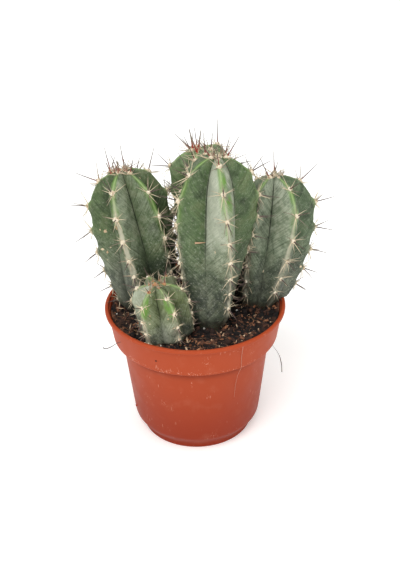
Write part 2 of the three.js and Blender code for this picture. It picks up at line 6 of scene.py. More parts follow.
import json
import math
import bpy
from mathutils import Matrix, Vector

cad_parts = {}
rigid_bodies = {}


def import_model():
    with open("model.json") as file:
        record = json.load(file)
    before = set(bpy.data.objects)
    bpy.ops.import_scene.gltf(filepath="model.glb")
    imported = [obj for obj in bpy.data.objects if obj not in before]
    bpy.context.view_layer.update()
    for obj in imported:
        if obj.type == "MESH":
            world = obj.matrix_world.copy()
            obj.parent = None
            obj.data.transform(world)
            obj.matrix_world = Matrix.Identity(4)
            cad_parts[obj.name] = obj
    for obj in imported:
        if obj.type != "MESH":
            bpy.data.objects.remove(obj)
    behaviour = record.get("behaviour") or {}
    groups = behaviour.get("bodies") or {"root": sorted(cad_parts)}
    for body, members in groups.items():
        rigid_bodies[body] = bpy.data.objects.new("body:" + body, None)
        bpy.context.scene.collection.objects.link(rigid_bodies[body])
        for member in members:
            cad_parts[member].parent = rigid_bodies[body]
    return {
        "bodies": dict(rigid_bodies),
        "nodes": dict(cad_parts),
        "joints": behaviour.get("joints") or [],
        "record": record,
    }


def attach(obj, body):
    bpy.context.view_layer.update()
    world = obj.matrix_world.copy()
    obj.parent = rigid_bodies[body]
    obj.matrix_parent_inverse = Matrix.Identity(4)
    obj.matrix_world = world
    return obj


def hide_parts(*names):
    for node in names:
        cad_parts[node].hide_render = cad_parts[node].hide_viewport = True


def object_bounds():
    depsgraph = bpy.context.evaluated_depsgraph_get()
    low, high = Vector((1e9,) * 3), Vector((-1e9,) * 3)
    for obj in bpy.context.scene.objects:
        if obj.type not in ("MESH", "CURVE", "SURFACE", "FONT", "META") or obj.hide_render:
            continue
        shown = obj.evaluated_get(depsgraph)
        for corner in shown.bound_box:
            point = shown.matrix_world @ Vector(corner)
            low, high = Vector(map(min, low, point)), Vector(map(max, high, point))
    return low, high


bl_info = {
    "name": "Potted column cactus",
    "version": (1, 0, 0),
    "blender": (4, 5, 0),
    "location": "View3D > Sidebar > Cactus",
    "description": "Builds a clump of ribbed column cacti with spines, wool, soil and nursery pot",
    "category": "Add Mesh",
}

import bmesh
import bpy
import numpy as np
from mathutils import Matrix, Vector, noise

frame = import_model()
CAD_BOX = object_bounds()
MM = 0.001

# Pot, as in the part's source
POT_HEIGHT = 93.0
RIM_RADIUS = 60.0
LIP_HEIGHT = 2.6
LIP_INSET = 2.4
COLLAR_TOP_RADIUS = 58.4
COLLAR_BOTTOM_RADIUS = 55.2
COLLAR_BOTTOM = 71.2
WALL_TOP_RADIUS = 50.0
WALL_BOTTOM_RADIUS = 43.4
CHAMFER_TOP = 10.5
FOOT_RADIUS = 38.0
FOOT_HEIGHT = 3.6
FLOOR_THICKNESS = 2.2
WALL_THICKNESS = 1.4
DRAIN_HOLES = 6
DRAIN_RADIUS = 3.2
DRAIN_CIRCLE = 29.0

# Soil, as in the part's source
SOIL_LEVEL = 87.2
SOIL_EDGE_LEVEL = 86.0
SOIL_EDGE_FROM = 44.0
SOIL_EDGE_TO = 56.0
SOIL_RELIEF = 0.9
COARSE_BUMP = 31.0
FINE_BUMP = 17.0

# Stems, ribs and spines, as in the part's source
STEM_LEVEL = 87.6
FOOT_SHARE = 0.1
REACH_POWER = 0.6
VALLEY_AT_BASE = 0.86
VALLEY_AT_TOP = 0.52
VALLEY_FULL_AT = 0.7
FLANK_BULGE = 0.055
CREST_HALF_WIDTH = 1.1
CREST_ROUNDING = 0.05
CREST_FADE_RADIUS = 8.0
CUSHION_RISE = 0.9
WALL_ROOM_RADIUS = 55.2
WALL_ROOM_SLOPE = 0.25
RIM_ROOM = 0.35
CUSHION_STEP_FALL = 0.09
CUSHION_STEP_LEAST = 0.6
LOWEST_CUSHION = 0.05
CUSHION_RADIUS = 1.15
CUSHION_DEPTH = 1.1
CENTRAL_LENGTH = (12.8, 17.8)
CENTRAL_TILT = (-0.5, 0.3)
CENTRAL_SWAY = (-0.25, 0.25)
RADIALS = 3
RADIAL_LENGTH = (7.2, 10.8)
RADIAL_TURN = (-0.125, 0.125)
RADIAL_LIFT = (0.45, 0.7)
OLD_SPINE_LOSS = 0.35
OLD_CUSHION = 6
FIRST_SEED = 7001
SEED_STEP = 131

# A rib: direction at the base and at the top in degrees (0 is the front, 90 is +X), reach at the base and
# at the top as a share of the rib radius, and the way along the crest from the tip to its first cushion.
# Its wax: how thick the bloom is low and high on the flank at its lower angle, then on the one at its higher.
# Its cork: how much of the dry strip beside the crest shows on those two flanks. Furrow shade is how dark the
# painted shade in the low furrows is. Crown is how many new centrals there are, the ribs that carry them,
# their least and greatest length, how stout they are, from the radials' radius (0) to that of the centrals
# (1) and on, and how red.
# Lenses are the flanks, by rib and side, with a lens of fresh skin below the crest. Rust is how rust-brown
# the newest wool is.
STEMS = {
    "stem_left": dict(
        skin="left_skin",
        base=(-31, 3), top=(-44.8, 12, 182.5), bow=(1, 0.2), foot_tuck=0.2,
        base_radius=16.2, full_radius=26.2, full_at=0.61, swell=1.1,
        dome_from=0.675, dome_power=2.45, dome_root=2.35, cushion_step=18.5, spine_scale=1.0,
        ribs=((-82, -83, 1.01, 1.02, 15), (-2, -18, 0.98, 1.02, 3), (58, 42, 1.05, 0.98, 8),
              (104, 103, 0.97, 0.99, 17), (163, 162, 1, 1, 5), (-141, -139, 1, 1, 11)),
        wax=((0.4, 0.2, 0.32, 0.06), (0.26, 0.04, 0.07, 0.38), (0.06, 0.22, 0.1, 0.08),
             (0.3, 0.1, 0.3, 0.2), (0.3, 0.2, 0.3, 0.2), (0.4, 0.2, 0.4, 0.2)),
        cork=((0.3, 0.3), (0.95, 0.95), (0.3, 0.2), (0.4, 0.4), (0.5, 0.5), (0.5, 0.5)),
        furrow_shade=0.85, lenses=(), rust=0.15,
        crown=(6, (1, 2, 0), 8, 11, 2.2, 0.6),
    ),
    "stem_centre": dict(
        skin="centre_skin",
        base=(9.2, -17), top=(15.5, -6.3, 198), bow=(-0.4, 2.2), foot_tuck=0.28,
        base_radius=15, full_radius=27.7, full_at=0.71, swell=1.37,
        dome_from=0.64, dome_power=2.4, dome_root=2.18, cushion_step=18.5, spine_scale=1.0,
        ribs=((-55, -60, 0.97, 0.98, 3.5), (40, 4, 1.1, 0.98, 10.5), (114, 90, 0.68, 1.07, 4.5),
              (164, 158, 0.95, 0.92, 13), (-124, -132, 0.95, 0.95, 9)),
        wax=((0.3, 0.2, 0.14, 0.06), (0.18, 1, 0.18, 0.65), (0.12, 0.06, 0.3, 0.2),
             (0.3, 0.2, 0.3, 0.2), (0.3, 0.2, 0.3, 0.2)),
        cork=((0.9, 0.3), (0.1, 1), (0.4, 0.4), (0.5, 0.5), (0.5, 0.5)),
        furrow_shade=0.1, lenses=((1, 1),), rust=0,
        crown=(3, (0, 2, 3), 8, 11, 1.3, 0.3),
    ),
    "stem_right": dict(
        skin="right_skin",
        base=(43.2, 12), top=(52.4, 20, 174), bow=(1.7, 0), foot_tuck=0.1,
        base_radius=18, full_radius=29.8, full_at=0.65, swell=1.1,
        dome_from=0.67, dome_power=2.4, dome_root=2.1, cushion_step=18.5, spine_scale=1.0,
        ribs=((-36, -42, 0.95, 0.72, 4), (17, 30, 0.88, 1, 17.5), (70, 101, 0.93, 0.98, 17),
              (165, 174, 0.8, 0.95, 10), (-122, -112, 0.9, 0.62, 12)),
        wax=((0.3, 0.4, 0.18, 0.4), (0.2, 0.55, 0.26, 0.08), (0.26, 0.08, 0.3, 0.3),
             (0.3, 0.2, 0.3, 0.2), (0.3, 0.4, 0.3, 0.4)),
        cork=((0.4, 0.4), (0.8, 0.6), (0.3, 0.3), (0.5, 0.5), (0.5, 0.5)),
        furrow_shade=0.3, lenses=(), rust=0,
        crown=(2, (0, 2), 5, 7, 1.0, 0.3),
    ),
    "stem_back": dict(
        skin="back_skin",
        base=(8.7, 34), top=(4.6, 32, 188.5), bow=(2.7, 0.2), foot_tuck=0.2,
        base_radius=15.9, full_radius=23.2, full_at=0.75, swell=1.3,
        dome_from=0.82, dome_power=2.4, dome_root=2.1, cushion_step=18.5, spine_scale=1.0,
        ribs=((-88, -87, 0.96, 0.97, 4), (-14, -14, 0.9, 0.9, 12), (48, 66, 0.76, 1.08, 7),
              (130, 130, 1, 1, 15), (-160, -160, 1, 1, 3)),
        wax=((0.3, 0.35, 0.3, 0.18), (0.3, 0.4, 0.3, 0.2), (0.3, 0.35, 0.3, 0.2),
             (0.3, 0.2, 0.3, 0.2), (0.3, 0.2, 0.3, 0.2)),
        cork=((0.5, 0.5), (0.5, 0.5), (0.5, 0.5), (0.5, 0.5), (0.5, 0.5)),
        furrow_shade=0.5, lenses=(), rust=0.1,
        crown=(3, (1, 0, 1), 14.5, 17.5, 2.8, 1.0),
    ),
    "stem_front_pup": dict(
        skin="pup_skin",
        base=(-18.6, -33), top=(-23.8, -34.4, 126), bow=(0.4, 1), foot_tuck=0.22,
        base_radius=16.2, full_radius=18.6, full_at=0.7, swell=1.25,
        dome_from=0.68, dome_power=2.4, dome_root=2.15, cushion_step=11.5, spine_scale=0.6,
        ribs=((-107, -101, 0.9, 0.96, 12), (-37, -32, 1, 1.03, 6.5), (31, 29, 1.04, 1.01, 13.5),
              (86, 85, 1.1, 0.91, 4.5), (147, 147, 1, 1.03, 10), (-159, -157, 1, 1.05, 15)),
        wax=((0.5, 0.6, 0.5, 0.8), (0.4, 0.9, 0.25, 0.2), (0.5, 0.25, 0.15, 0.15),
             (0.15, 0.15, 0.4, 0.3), (0.4, 0.3, 0.4, 0.3), (0.4, 0.3, 0.4, 0.3)),
        cork=((0.4, 0.4), (0.6, 0.6), (0.5, 0.5), (0.2, 0.2), (0.3, 0.3), (0.3, 0.3)),
        furrow_shade=0.5, lenses=((1, 1), (2, -1)), rust=0.85,
        crown=(14, (0, 1, 2, 3, 4, 5), 4.5, 8, 0.8, 0.5),
    ),
}

# Seeds of the random draws. Spines and wool add the stem's number to theirs
SOIL_SEED = 41
SPINE_SEED = 500
WOOL_SEED = 900
SCAB_SEED = 77
SPECK_SEED = 5

# How fine the meshes are
POT_SIDES = 160
SOIL_SIDES = 220
SOIL_RINGS = 96
STEM_ROWS = 150
CREST_POINTS = 400
FLANK_STEPS = (0, 0.018, 0.045, 0.085, 0.14, 0.22, 0.34, 0.47, 0.6, 0.73, 0.85, 0.93, 0.97)
SPINE_SIDES = 5
SPINE_RINGS = (0, 0.3, 0.65, 0.9)

# Finer form of the stems: the bump under each cushion, the notch over it, the sag of the crest between
# cushions, the swelling under each cushion, which reaches down and across the flank, a faint ripple over the
# flanks, and the tight furrow. Last the rings below the soil: how narrow and how deep each is
BUMP_WIDTH = 3.0
NOTCH_DEPTH = 0.7
NOTCH_ABOVE = 3.6
NOTCH_WIDTH = 1.3
CREST_SAG = 1.55
SAG_WIDTH = 5.5
TUBERCLE_RISE = 0.4
TUBERCLE_DROP = 12.0
TUBERCLE_WIDTH = 4.5
RIPPLE_HEIGHT = 0.3
RIPPLE_LENGTH = 9.0
GROOVE_DEPTH = 1.6
GROOVE_LOW_SHARE = 0.04
GROOVE_DEEPENS = (0.4, 0.9)
BURIED_RINGS = ((0.82, 5.0), (0.95, 2.5))
# How far down the flank the crest's own form reaches, as a share of the flank
CREST_REACH = 0.12
# How much smaller this form is on a smaller stem
FORM_POWER = 0.7
# Skin coordinates: streaks rise this much from furrow to crest, a flank counts as this wide, and the ribs'
# patterns start this far apart
STREAK_RISE = 17.0
FLANK_WIDTH = 14.0
RIB_STRIDE = 60.0
CUSHION_HALO = 3.2

# Wax, as steps over the height and over the flank: where a flank's low amount turns into its high one, where
# it wears off by the crest and lasts in the furrow, and where it blends with the neighbour's. Low down the
# crest loses one share of its wax, and the furrow keeps the other share more than the crest does
WAX_TURNS = (0.3, 0.7)
WAX_WORN = (0.45, 0.2)
WAX_IN_FURROW = (0.35, 0.9)
WAX_LOST, WAX_KEPT = 0.5, 1.1
WAX_BLENDS_AT_CREST = (0.12, 0.02)
WAX_BLENDS_IN_FURROW = (0.93, 1.0)
# Cork beside a crest: its thin and its added width as shares of the flank, and how far up it reaches
CORK_THIN, CORK_ADDED, CORK_WIDENS, CORK_EDGE = 0.045, 0.085, (0.75, 0.15), (1.3, 0.7)
CORK_TOP, CORK_TOP_ADDED, CORK_FADE = 0.55, 0.42, 0.25
# Fresh skin beside the young crests, and the lens of it as the middle and half size on flank and height
FRESH_CREST, FRESH_FLANK, FRESH_SHARE = 0.75, (0.2, 0.0), (0.48, 0.82)
LENS_MIDDLE, LENS_HALF, LENS_EDGE, LENS_FRESH = (0.12, 0.79), (0.24, 0.17), (1.2, 0.6), 0.95

# Spines that the part's source leaves out. A tilt is upwards and a sway sideways, both against straight out
YOUNG_FROM, YOUNG_TO = 0.94, 0.985
FINE_TURN, FINE_ROOT, FINE_LENGTH, FINE_LIFT = (-0.3, 0.3), (0.5, 1), (7, 12.5), (0.1, 0.8)
FINE_TONES = (0.0, 0.15, 0.8)
# How many of them a cushion has: near the tip, on the next few cushions and further down
FINE_NEAR_TIP, FINE_YOUNG, FINE_OLD, FINE_TIP_FROM, FINE_YOUNG_CUSHIONS = 3, 5, 4, 0.95, 5
SECOND_CHANCE, SECOND_TILT, SECOND_SWAY = 0.5, (-0.4, 0.9), (-0.7, 0.7)
SECOND_LENGTH, SECOND_TONE, SECOND_STOUT = (8, 14), (0.6, 1), 0.6
TIP_SPINES, TIP_TILT, TIP_SWAY = 4, (-0.3, 1.2), (-1, 1)
TIP_LENGTH, TIP_TONE, TIP_STOUT, TIP_RED = (3, 6), (0.1, 0.7), 0.2, 0.15
# New cushions sit this far from the tip on ribs whose first one is further down than the second value
NEW_CUSHION_WAY, NEW_CUSHION_FROM = 4.2, 8
# New centrals root from 1.5 mm down the rib on, lean out and to the left, and are dark
CROWN_WAY, CROWN_WAY_MORE, CROWN_LEAN, CROWN_SIDEWAYS, CROWN_TONE = 1.5, 5, 0.2, (-0.45, 0.2), 0.7
# A spine's bend as a share of its length, and how much of its length must be free for it to stay
SPINE_BEND = 0.035
SPINE_LEAST_SHARE, SPINE_LEAST = 0.35, 1.2
# Room that a spine keeps to other stems, soil, rim and the frame's box
ROOM_TO_STEM, ROOM_TO_SOIL, ROOM_TO_RIM, ROOM_TO_BOX = 0.4, 0.5, 0.6, 0.3
# The table of a stem's reach: its rows up to a share of the height, and degrees between its directions
REACH_ROWS, REACH_TOP, REACH_TURN = 60, 0.995, 3

# Wool: the size of a tuft up, out and across, how deep it sits, how it shrinks with age, and its hairs
WOOL_SIZE = (1.65, 1.4, 1.45)
WOOL_SPREAD = (0.85, 1.1)
WOOL_DEPTH = 0.35
WOOL_YOUNG, WOOL_AGEING, WOOL_NEW = 1.2, 0.04, 0.75
WOOL_NEWEST_FROM = 0.955
FUZZ_HAIRS, FUZZ_DEPTH, FUZZ_LENGTH, FUZZ_OUT, FUZZ_RADIUS = 34, 0.4, (1.5, 2.5), (0.2, 1), 0.07
# Tufts of wool at the very tip of a stem, how far from it the last one lies and the turn between them
TIP_TUFTS = 7
TIP_TUFT_REACH = 3.0
TIP_TUFT_TURN = 2.4

# How much higher the soil lies against the pot's wall than in the part's source
SOIL_HEAP = 2.8
# The bed's crumbs: how wide and how high they are, each with its own layer of the noise
SOIL_CRUMBLE = ((6.5, 3.0, 1.0), (3.0, 2.4, 5.0), (1.3, 0.8, 9.0))
# Room between the bed and the pot's outer wall, how far the bed's top reaches, and how wide damp zones are
BED_ROOM = 2.0
BED_EDGE = COLLAR_BOTTOM_RADIUS + 0.78
DAMP_ZONE = 9.0
# The bed's tone at the plain soil's height, what each millimetre above it adds, and the most that it may be
# Painted light and shade: the peat is drawn lighter where it lies higher and darker in its dips
BED_TONE, BED_TONE_RISE, BED_TONE_MOST = 0.02, 0.2, 0.7
# How dry the peat is on average, and how much that differs
DRYNESS, DRYNESS_SPREAD = 0.72, 1.6
# How far from the pot's axis loose stuff lies, and each kind's least and greatest sizes and sinks
STREWN_RADIUS = 54.0
CLOD_SIZE, CLOD_FORM, CLOD_SINK = (1.2, 2.3), ((0.8, 0.6, 0.6), (1.3, 1.0, 0.9)), (-0.5, 0.3)
CRUMB_LEAST, CRUMB_MORE, CRUMB_POWER = 0.4, 1.3, 2.5
CRUMB_FORM, CRUMB_SINK = ((0.8, 0.4, 0.3), (1.7, 0.9, 0.7)), (-0.2, 0.3)
CHIP_FORM, CHIP_LEAST, CHIP_SINK = ((1.0, 0.45, 0.2), (3.0, 1.2, 0.5)), 0.32, (0.1, 0.5)
# From this tone on a chip lies with its light face up. The rest makes such tones lighter and others darker
CHIP_LIGHT_FROM, LIGHT_FACE_LEAST, LIGHT_FACE_MORE, DARK_FACE = 0.67, 0.55, 0.4, 0.6
FIBRE_LENGTH, FIBRE_BEND, FIBRE_ARCH, FIBRE_RADIUS = (3, 9), (-0.25, 0.25), (-0.2, 0.4), 0.16
PERLITE_SIZE, PERLITE_FORM, PERLITE_SINK = (0.4, 1.0), (0.75, 1.1), 0.2

# Scabs and dry flakes on the skin: stem, rib, side, flank, share, half length up the stem, half width, tone
SCABS = (
    ("stem_left", 0, 1, 0.60, 0.637, 1.5, 1.5, 0.7),
    ("stem_left", 0, 1, 0.32, 0.506, 1.0, 1.6, 0.9),
    ("stem_left", 0, 1, 0.52, 0.487, 1.2, 0.9, 0.6),
    ("stem_left", 0, 1, 0.40, 0.649, 0.7, 0.6, 0.9),
    ("stem_left", 0, 1, 0.70, 0.52, 0.5, 0.6, 0.9),
    ("stem_left", 0, 1, 0.45, 0.43, 0.6, 0.5, 0.8),
    ("stem_left", 1, -1, 0.08, 0.706, 1.6, 0.8, 0.5),
    ("stem_left", 2, 1, 0.36, 0.949, 0.8, 0.9, 0.7),
    ("stem_centre", 1, -1, 0.52, 0.506, 1.7, 0.6, 0.95),
    ("stem_right", 0, 1, 1.0, 0.306, 1.2, 0.6, 0.95),
    ("stem_right", 2, -1, 0.28, 0.334, 1.0, 1.4, 0.95),
    ("stem_front_pup", 1, 1, 0.20, 0.833, 0.8, 0.7, 0.7),
    ("stem_front_pup", 1, 1, 0.40, 0.676, 0.6, 0.6, 0.6),
    ("stem_front_pup", 2, -1, 0.36, 0.574, 1.0, 0.9, 0.7),
    ("stem_front_pup", 1, 1, 0.30, 0.52, 0.6, 0.7, 0.9),
)
# How wide and high a scab's ball is against its table's sizes, how far it stands out, and how rough it is
SCAB_SHARE, SCAB_THICKNESS, SCAB_ROUGH = 0.8, 0.3, 0.2
# A dry bit of twig caught on the centre stem: rib, side and share, and its flanks from end to end
TWIG_RIB_SIDE, TWIG_SHARE, TWIG_FLANKS = (0, 1), 0.54, (0.62, 0.8, 0.99)
TWIG_RADIUS, TWIG_LIFT = 0.6, 0.5
# Loose hairs on the pot: piece, material and radius, and each hair's corners as turn from the front in
# degrees, radius and height
HAIRS = (
    ("dry_hairs", "Dried_plant_hair", 0.34, (
        ((-75.5, 63.8, 68.2), (-74.8, 63.2, 67.6), (-73.6, 61.4, 68.0),
         (-71.2, 58.2, 70.8), (-66.0, 56.2, 76.0), (-58.0, 56.8, 81.4)),
        ((61.1, 64.2, 56.2), (61.0, 63.9, 61.8), (61.3, 62.4, 67.4), (63.0, 59.4, 70.2), (65.2, 55.3, 71.9)),
    )),
    ("pale_hair", "Bleached_plant_hair", 0.16, (
        ((29.2, 60.1, 91.0), (30.2, 56.9, 81.0), (31.0, 55.4, 71.5),
         (31.3, 51.2, 63.5), (31.3, 48.5, 54.0), (31.3, 47.1, 43.5)),
    )),
)
# A dark speck on the collar and a moulding nub low on the wall: piece, material, radius, and turn, radius and
# height of the place
SPECKS = (
    ("soil_speck", "Caked_soil", 0.55, (-26.0, 56.6, 80.5)),
    ("moulding_nub", "Trimmed_polypropylene", 0.9, (-70.0, 44.5, 19.2)),
)

# Sizes of the materials' patterns in millimetres. A texture's scale is PER_METRE over one of them
PER_METRE = 1000.0
FADE_CLOUD = 12.05
DUST_CLOUD = 7.692
MOULDING_GRAIN = 0.5
# Lime specks are 0.4 to 0.8 mm across and about this far apart
LIME_SPACING = 1.1111
# Scuffs are a third of a millimetre wide, as the thin peaks of a pattern this wide and this long
SCUFF_SIZE = (0.90909, 0.90909, 16.6667)
# The lime lies thickest at this height on the collar
LIME_LINE = 72.5
# The skin's clouds: size, detail and strength of the detail of the broad ones, the blotches and the mottling
SKIN_CLOUDS = ((12, 3, 0.55), (6, 4, 0.6), (1.7, 4, 0.8))
# Streaks across the flanks and changes along the crests: how wide and how long each is
STREAK_WIDTH, STREAK_LENGTH = 1.17647, 18.1818
CREST_CHANGE = (16.6667, 14.2857)
# The darkest and the lightest skin against the skin's own colour
SKIN_DARK, SKIN_LIGHT = 0.34, 1.6
WOOL_GRAIN = 1.1111
BOARD_CLOUD = 83.333

# Dry, matt stuffs: the dark, middle and light tone, each as a hex value or a colour of the settings, then the
# roughness, the grain's size and how deep it is
STUFFS = {
    # Milled peat, wetted: nearly black and quite matt, brown where it has dried
    "Damp_peat": ("peat", "#432A1E", "crumb", 0.95, 1.6, 0.8),
    # Pressed lumps of the same peat: rough, and browner where the peat has dried
    "Peat_clods": ("peat", "#40291F", "#85583F", 0.95, 1.6, 1.0),
    # Sieved crumbs: each is one tone, from black to dusty brown
    "Peat_crumbs": ("peat", "#55372A", "crumb", 0.95, 0.6, 0.4),
    # Shredded pine bark: dark on the weathered face, bright tan on the torn one
    "Shredded_bark": ("#22140F", "#8F5635", "bark", 0.9, 1.2, 0.3),
    # Combed coconut fibre: thin, dull brown threads
    "Coir_fibre": ("#5E4230", "#8E6B4C", "#C0A07A", 0.85, 1.0, 0.1),
    # Heated, expanded volcanic glass: off-white, matt and finely pitted
    "Expanded_perlite": ("#A9A69C", "perlite", "#F4F2EA", 0.8, 0.5, 0.2),
    # Healed skin, dried in the air: tan to cream flakes
    "Dry_scab": ("#7C6046", "#C0A27E", "#E8D6B4", 0.9, 0.6, 0.2),
    # Dried, broken twig: dull, pinkish brown
    "Dry_twig": ("#8A6448", "#B98E6E", "#D2AE8E", 0.85, 1.0, 0.2),
    # Dried plant hair: nearly black, with a weak sheen
    "Dried_plant_hair": ("#2B211A", "#40332A", "#5E4E40", 0.7, 1.0, 0.05),
    # Sun-bleached plant hair: pale, with the orange of the pot painted in as painted light that shows through
    # it
    "Bleached_plant_hair": ("#C98F78", "#D9A48D", "#E8BFA9", 0.7, 1.0, 0.05),
    # Wet soil dried onto the pot: one dark, dull speck
    "Caked_soil": ("#1A120D", "#2A1C14", "#3A281D", 0.8, 0.5, 0.05),
    # The pot's plastic where its feed was trimmed off: matt and a little deeper in colour
    "Trimmed_polypropylene": ("#8E3218", "#A34021", "#B24B29", 0.8, 0.5, 0.05),
}

# Studio: half the floor's side in metres, the lights with where they stand and how wide they look in degrees,
# and the camera's place in metres with its tilt from the vertical and its roll in degrees
FLOOR_HALF = 30.0
LIGHTS = (("key_light", (-0.3, -0.62, 0.85), 40), ("fill_light", (0.55, -0.5, 0.6), 60))
CAMERA_PLACE = (0.0035, -0.509, 0.3962)
CAMERA_TILT, CAMERA_ROLL = 60.26, -1.06
SENSOR_WIDTH = 36.0
CLIP_START, CLIP_END = 0.01, 50.0


def linear(hex_colour):
    """The linear colour with alpha of an sRGB hex value."""
    parts = [int(hex_colour[i:i + 2], 16) / 255 for i in (1, 3, 5)]
    return [p / 12.92 if p <= 0.04045 else ((p + 0.055) / 1.055) ** 2.4 for p in parts] + [1.0]


def colour_property(name, description, hex_colour):
    """A colour that a user may change."""
    return bpy.props.FloatVectorProperty(
        name=name, description=description, subtype="COLOR", size=4, min=0, max=1, default=linear(hex_colour)
    )


def count_property(name, description, count):
    """A number of like pieces that a user may change."""
    return bpy.props.IntProperty(name=name, description=description, default=count, min=0)


def radius_property(name, description, radius):
    """A small radius in metres that a user may change."""
    return bpy.props.FloatProperty(
        name=name, description=description, default=radius, unit="LENGTH", precision=5, min=0.0001, max=0.001
    )


def glow_property(name, description, strength):
    """The strength of a light or a glow that a user may change."""
    return bpy.props.FloatProperty(name=name, description=description, default=strength, min=0)


class CactusPotSettings(bpy.types.PropertyGroup):
    """Colours of the pot."""

    plastic: colour_property("Plastic", "Terracotta-orange moulded plastic", "#AD4827")
    # Painted shade: the wall is drawn in this darker colour towards the bottom
    low_wall_shade: colour_property("Low plastic", "The plastic low on the wall, less faded", "#8E3119")
    # Painted shade right under the collar's edge
    shaded_plastic: colour_property("Shaded plastic", "The wall under the collar's edge", "#6E2414")
    dust: colour_property("Dust", "Dry specks of lime and dust", "#DFA78D")


class CactusSoilSettings(bpy.types.PropertyGroup):
    """Sizes and colours of the soil."""

    peat: colour_property("Peat", "Damp dark peat", "#100B09")
    crumb: colour_property("Crumbs", "Dry crumbs of peat and coir", "#AD7553")
    bark: colour_property("Bark", "Light face of shredded bark", "#DDBD9B")
    perlite: colour_property("Perlite", "Expanded perlite grains", "#D9D6CC")
    crumbs: count_property("Crumbs", "Number of loose crumbs", 2700)
    clods: count_property("Clods", "Number of coarse clods", 190)
    chips: count_property("Bark chips", "Number of bark chips", 800)
    fibres: count_property("Fibres", "Number of coir fibres", 220)
    grains: count_property("Perlite grains", "Number of white grains", 34)


class CactusStemSettings(bpy.types.PropertyGroup):
    """Colours of the stems."""

    left_skin: colour_property("Left skin", "Grown skin of the left stem", "#43582F")
    centre_skin: colour_property("Centre skin", "Grown skin of the centre stem", "#4B6239")
    right_skin: colour_property("Right skin", "Grown skin of the right stem", "#4B6040")
    back_skin: colour_property("Back skin", "Grown skin of the back stem", "#5D7846")
    pup_skin: colour_property("Pup skin", "Grown skin of the pup", "#5C6A38")
    # Partly the skin's own ageing and partly painted shade low between the stems
    old: colour_property("Old skin", "Darkened, greyer skin near the foot", "#252D27")
    fresh: colour_property("Fresh skin", "New skin beside the crests near the tips", "#668F3A")
    # Painted highlight: a thin pale line along the young crests
    crest: colour_property("Crest", "Thin pale line on the young crests", "#B4CB8C")
    bloom: colour_property("Bloom", "Whitish wax over the skin", "#BBC1AC")
    tan: colour_property("Tan", "Skin browned by the sun", "#57532F")
    cork: colour_property("Cork", "Dry edge of the old crests", "#BDB9A3")
    # Painted shade in the furrows
    valley: colour_property("Valley", "Shaded skin in the furrows", "#1B2616")
    splash: colour_property("Splash", "Soil splashed on the foot", "#4A3729")


class CactusSpineSettings(bpy.types.PropertyGroup):
    """Sizes and colours of spines and wool."""

    pale: colour_property("Radial spines", "Radial spines near their root", "#E6D5B4")
    horn: colour_property("Central spines", "Central spines, weathered horn", "#5D4C47")
    tip: colour_property("Tips", "Dry tips of the spines", "#5A463D")
    young: colour_property("Young spines", "Red base of new spines at the crowns", "#B8402F")
    wool: colour_property("Wool", "Felt of the spine cushions", "#E2D3B6")
    browned: colour_property("Browned wool", "Weathered patches of the felt", "#9A6B45")
    bright: colour_property("Bright wool", "Cleanest hairs of the felt", "#F4ECDA")
    rust: colour_property("New wool", "Rust-brown felt of the newest cushions", "#B07440")
    central_radius: radius_property("Central spine radius", "Radius of a central spine at its root", 0.00046)
    radial_radius: radius_property("Radial spine radius", "Radius of a radial spine at its root", 0.00028)


class CactusStageSettings(bpy.types.PropertyGroup):
    """Lens, lights and colour of the studio."""

    board: colour_property("Floor", "Matt white studio board", "#FAFAF8")
    focal: bpy.props.FloatProperty(
        name="Focal length", description="Lens that gives the photograph's perspective, in millimetres",
        default=56.15, min=10, max=300,
    )
    key_power: glow_property("Key light", "Large soft light, upper left", 1.55)
    fill_power: glow_property("Fill light", "Soft light, right", 0.35)
    sky_glow: glow_property("Light above", "Glow of the white room overhead", 1.01)
    # Painted glow: the floor glows a little, though it is no lamp, which lifts its shadow
    board_glow: glow_property("Board's glow", "Light through the board", 0.24)
    wall_glow: glow_property("Light at the side", "Glow of the room's walls", 0.12)


# Making meshes and materials


def plug(tree, node, inputs):
    """Gives sockets of a node, by name or number, a value or another node's output."""
    for key, value in inputs.items():
        if isinstance(value, bpy.types.NodeSocket):
            tree.links.new(value, node.inputs[key])
        else:
            node.inputs[key].default_value = value


def add(tree, kind, inputs=None, out=0, stops=(), **settings):
    """Adds a shader node with its settings and links, and returns one of its outputs."""
    node = tree.nodes.new("ShaderNode" + kind)
    for name, value in settings.items():
        setattr(node, name, value)
    plug(tree, node, inputs or {})
    if stops:
        elements = node.color_ramp.elements
        for position, colour in stops[1:-1]:
            elements.new(position).color = colour
        for element, (position, colour) in ((elements[0], stops[0]), (elements[-1], stops[-1])):
            element.position, element.color = position, colour
    return node.outputs[out]


def new_material(name):
    """An empty material with its shader, and the node tree it is in."""
    material = bpy.data.materials.new(name)
    material.use_nodes = True
    tree = material.node_tree
    return material, tree, tree.nodes["Principled BSDF"]


def piece_from(name, points, faces, material, attributes=None, body="root"):
    """A smooth mesh piece from points in millimetres, riding on a body."""
    mesh = bpy.data.meshes.new(name)
    mesh.from_pydata((np.asarray(points) * MM).tolist(), [], [list(map(int, face)) for face in faces])
    mesh.polygons.foreach_set("use_smooth", [True] * len(mesh.polygons))
    for label, values in (attributes or {}).items():
        values = np.asarray(values, np.float32)
        layer = mesh.attributes.new(label, "FLOAT" if values.ndim == 1 else "FLOAT_VECTOR", "POINT")
        layer.data.foreach_set("value" if values.ndim == 1 else "vector", values.ravel())
    mesh.materials.append(material)
    mesh.update()
    piece = bpy.data.objects.new(name, mesh)
    bpy.context.scene.collection.objects.link(piece)
    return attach(piece, body)


def grid_faces(rows, columns, bottom=None, top=None):
    """Quads of rows of points that close on themselves, with fans to a bottom and a top point's number."""
    faces = []
    for row in range(rows - 1):
        for column in range(columns):
            a = row * columns + column
            b = row * columns + (column + 1) % columns
            faces.append((a, b, b + columns, a + columns))
    last = (rows - 1) * columns
    for column in range(columns):
        following = (column + 1) % columns
        if bottom is not None:
            faces.append((bottom, following, column))
        if top is not None:
            faces.append((top, last + column, last + following))
    return faces


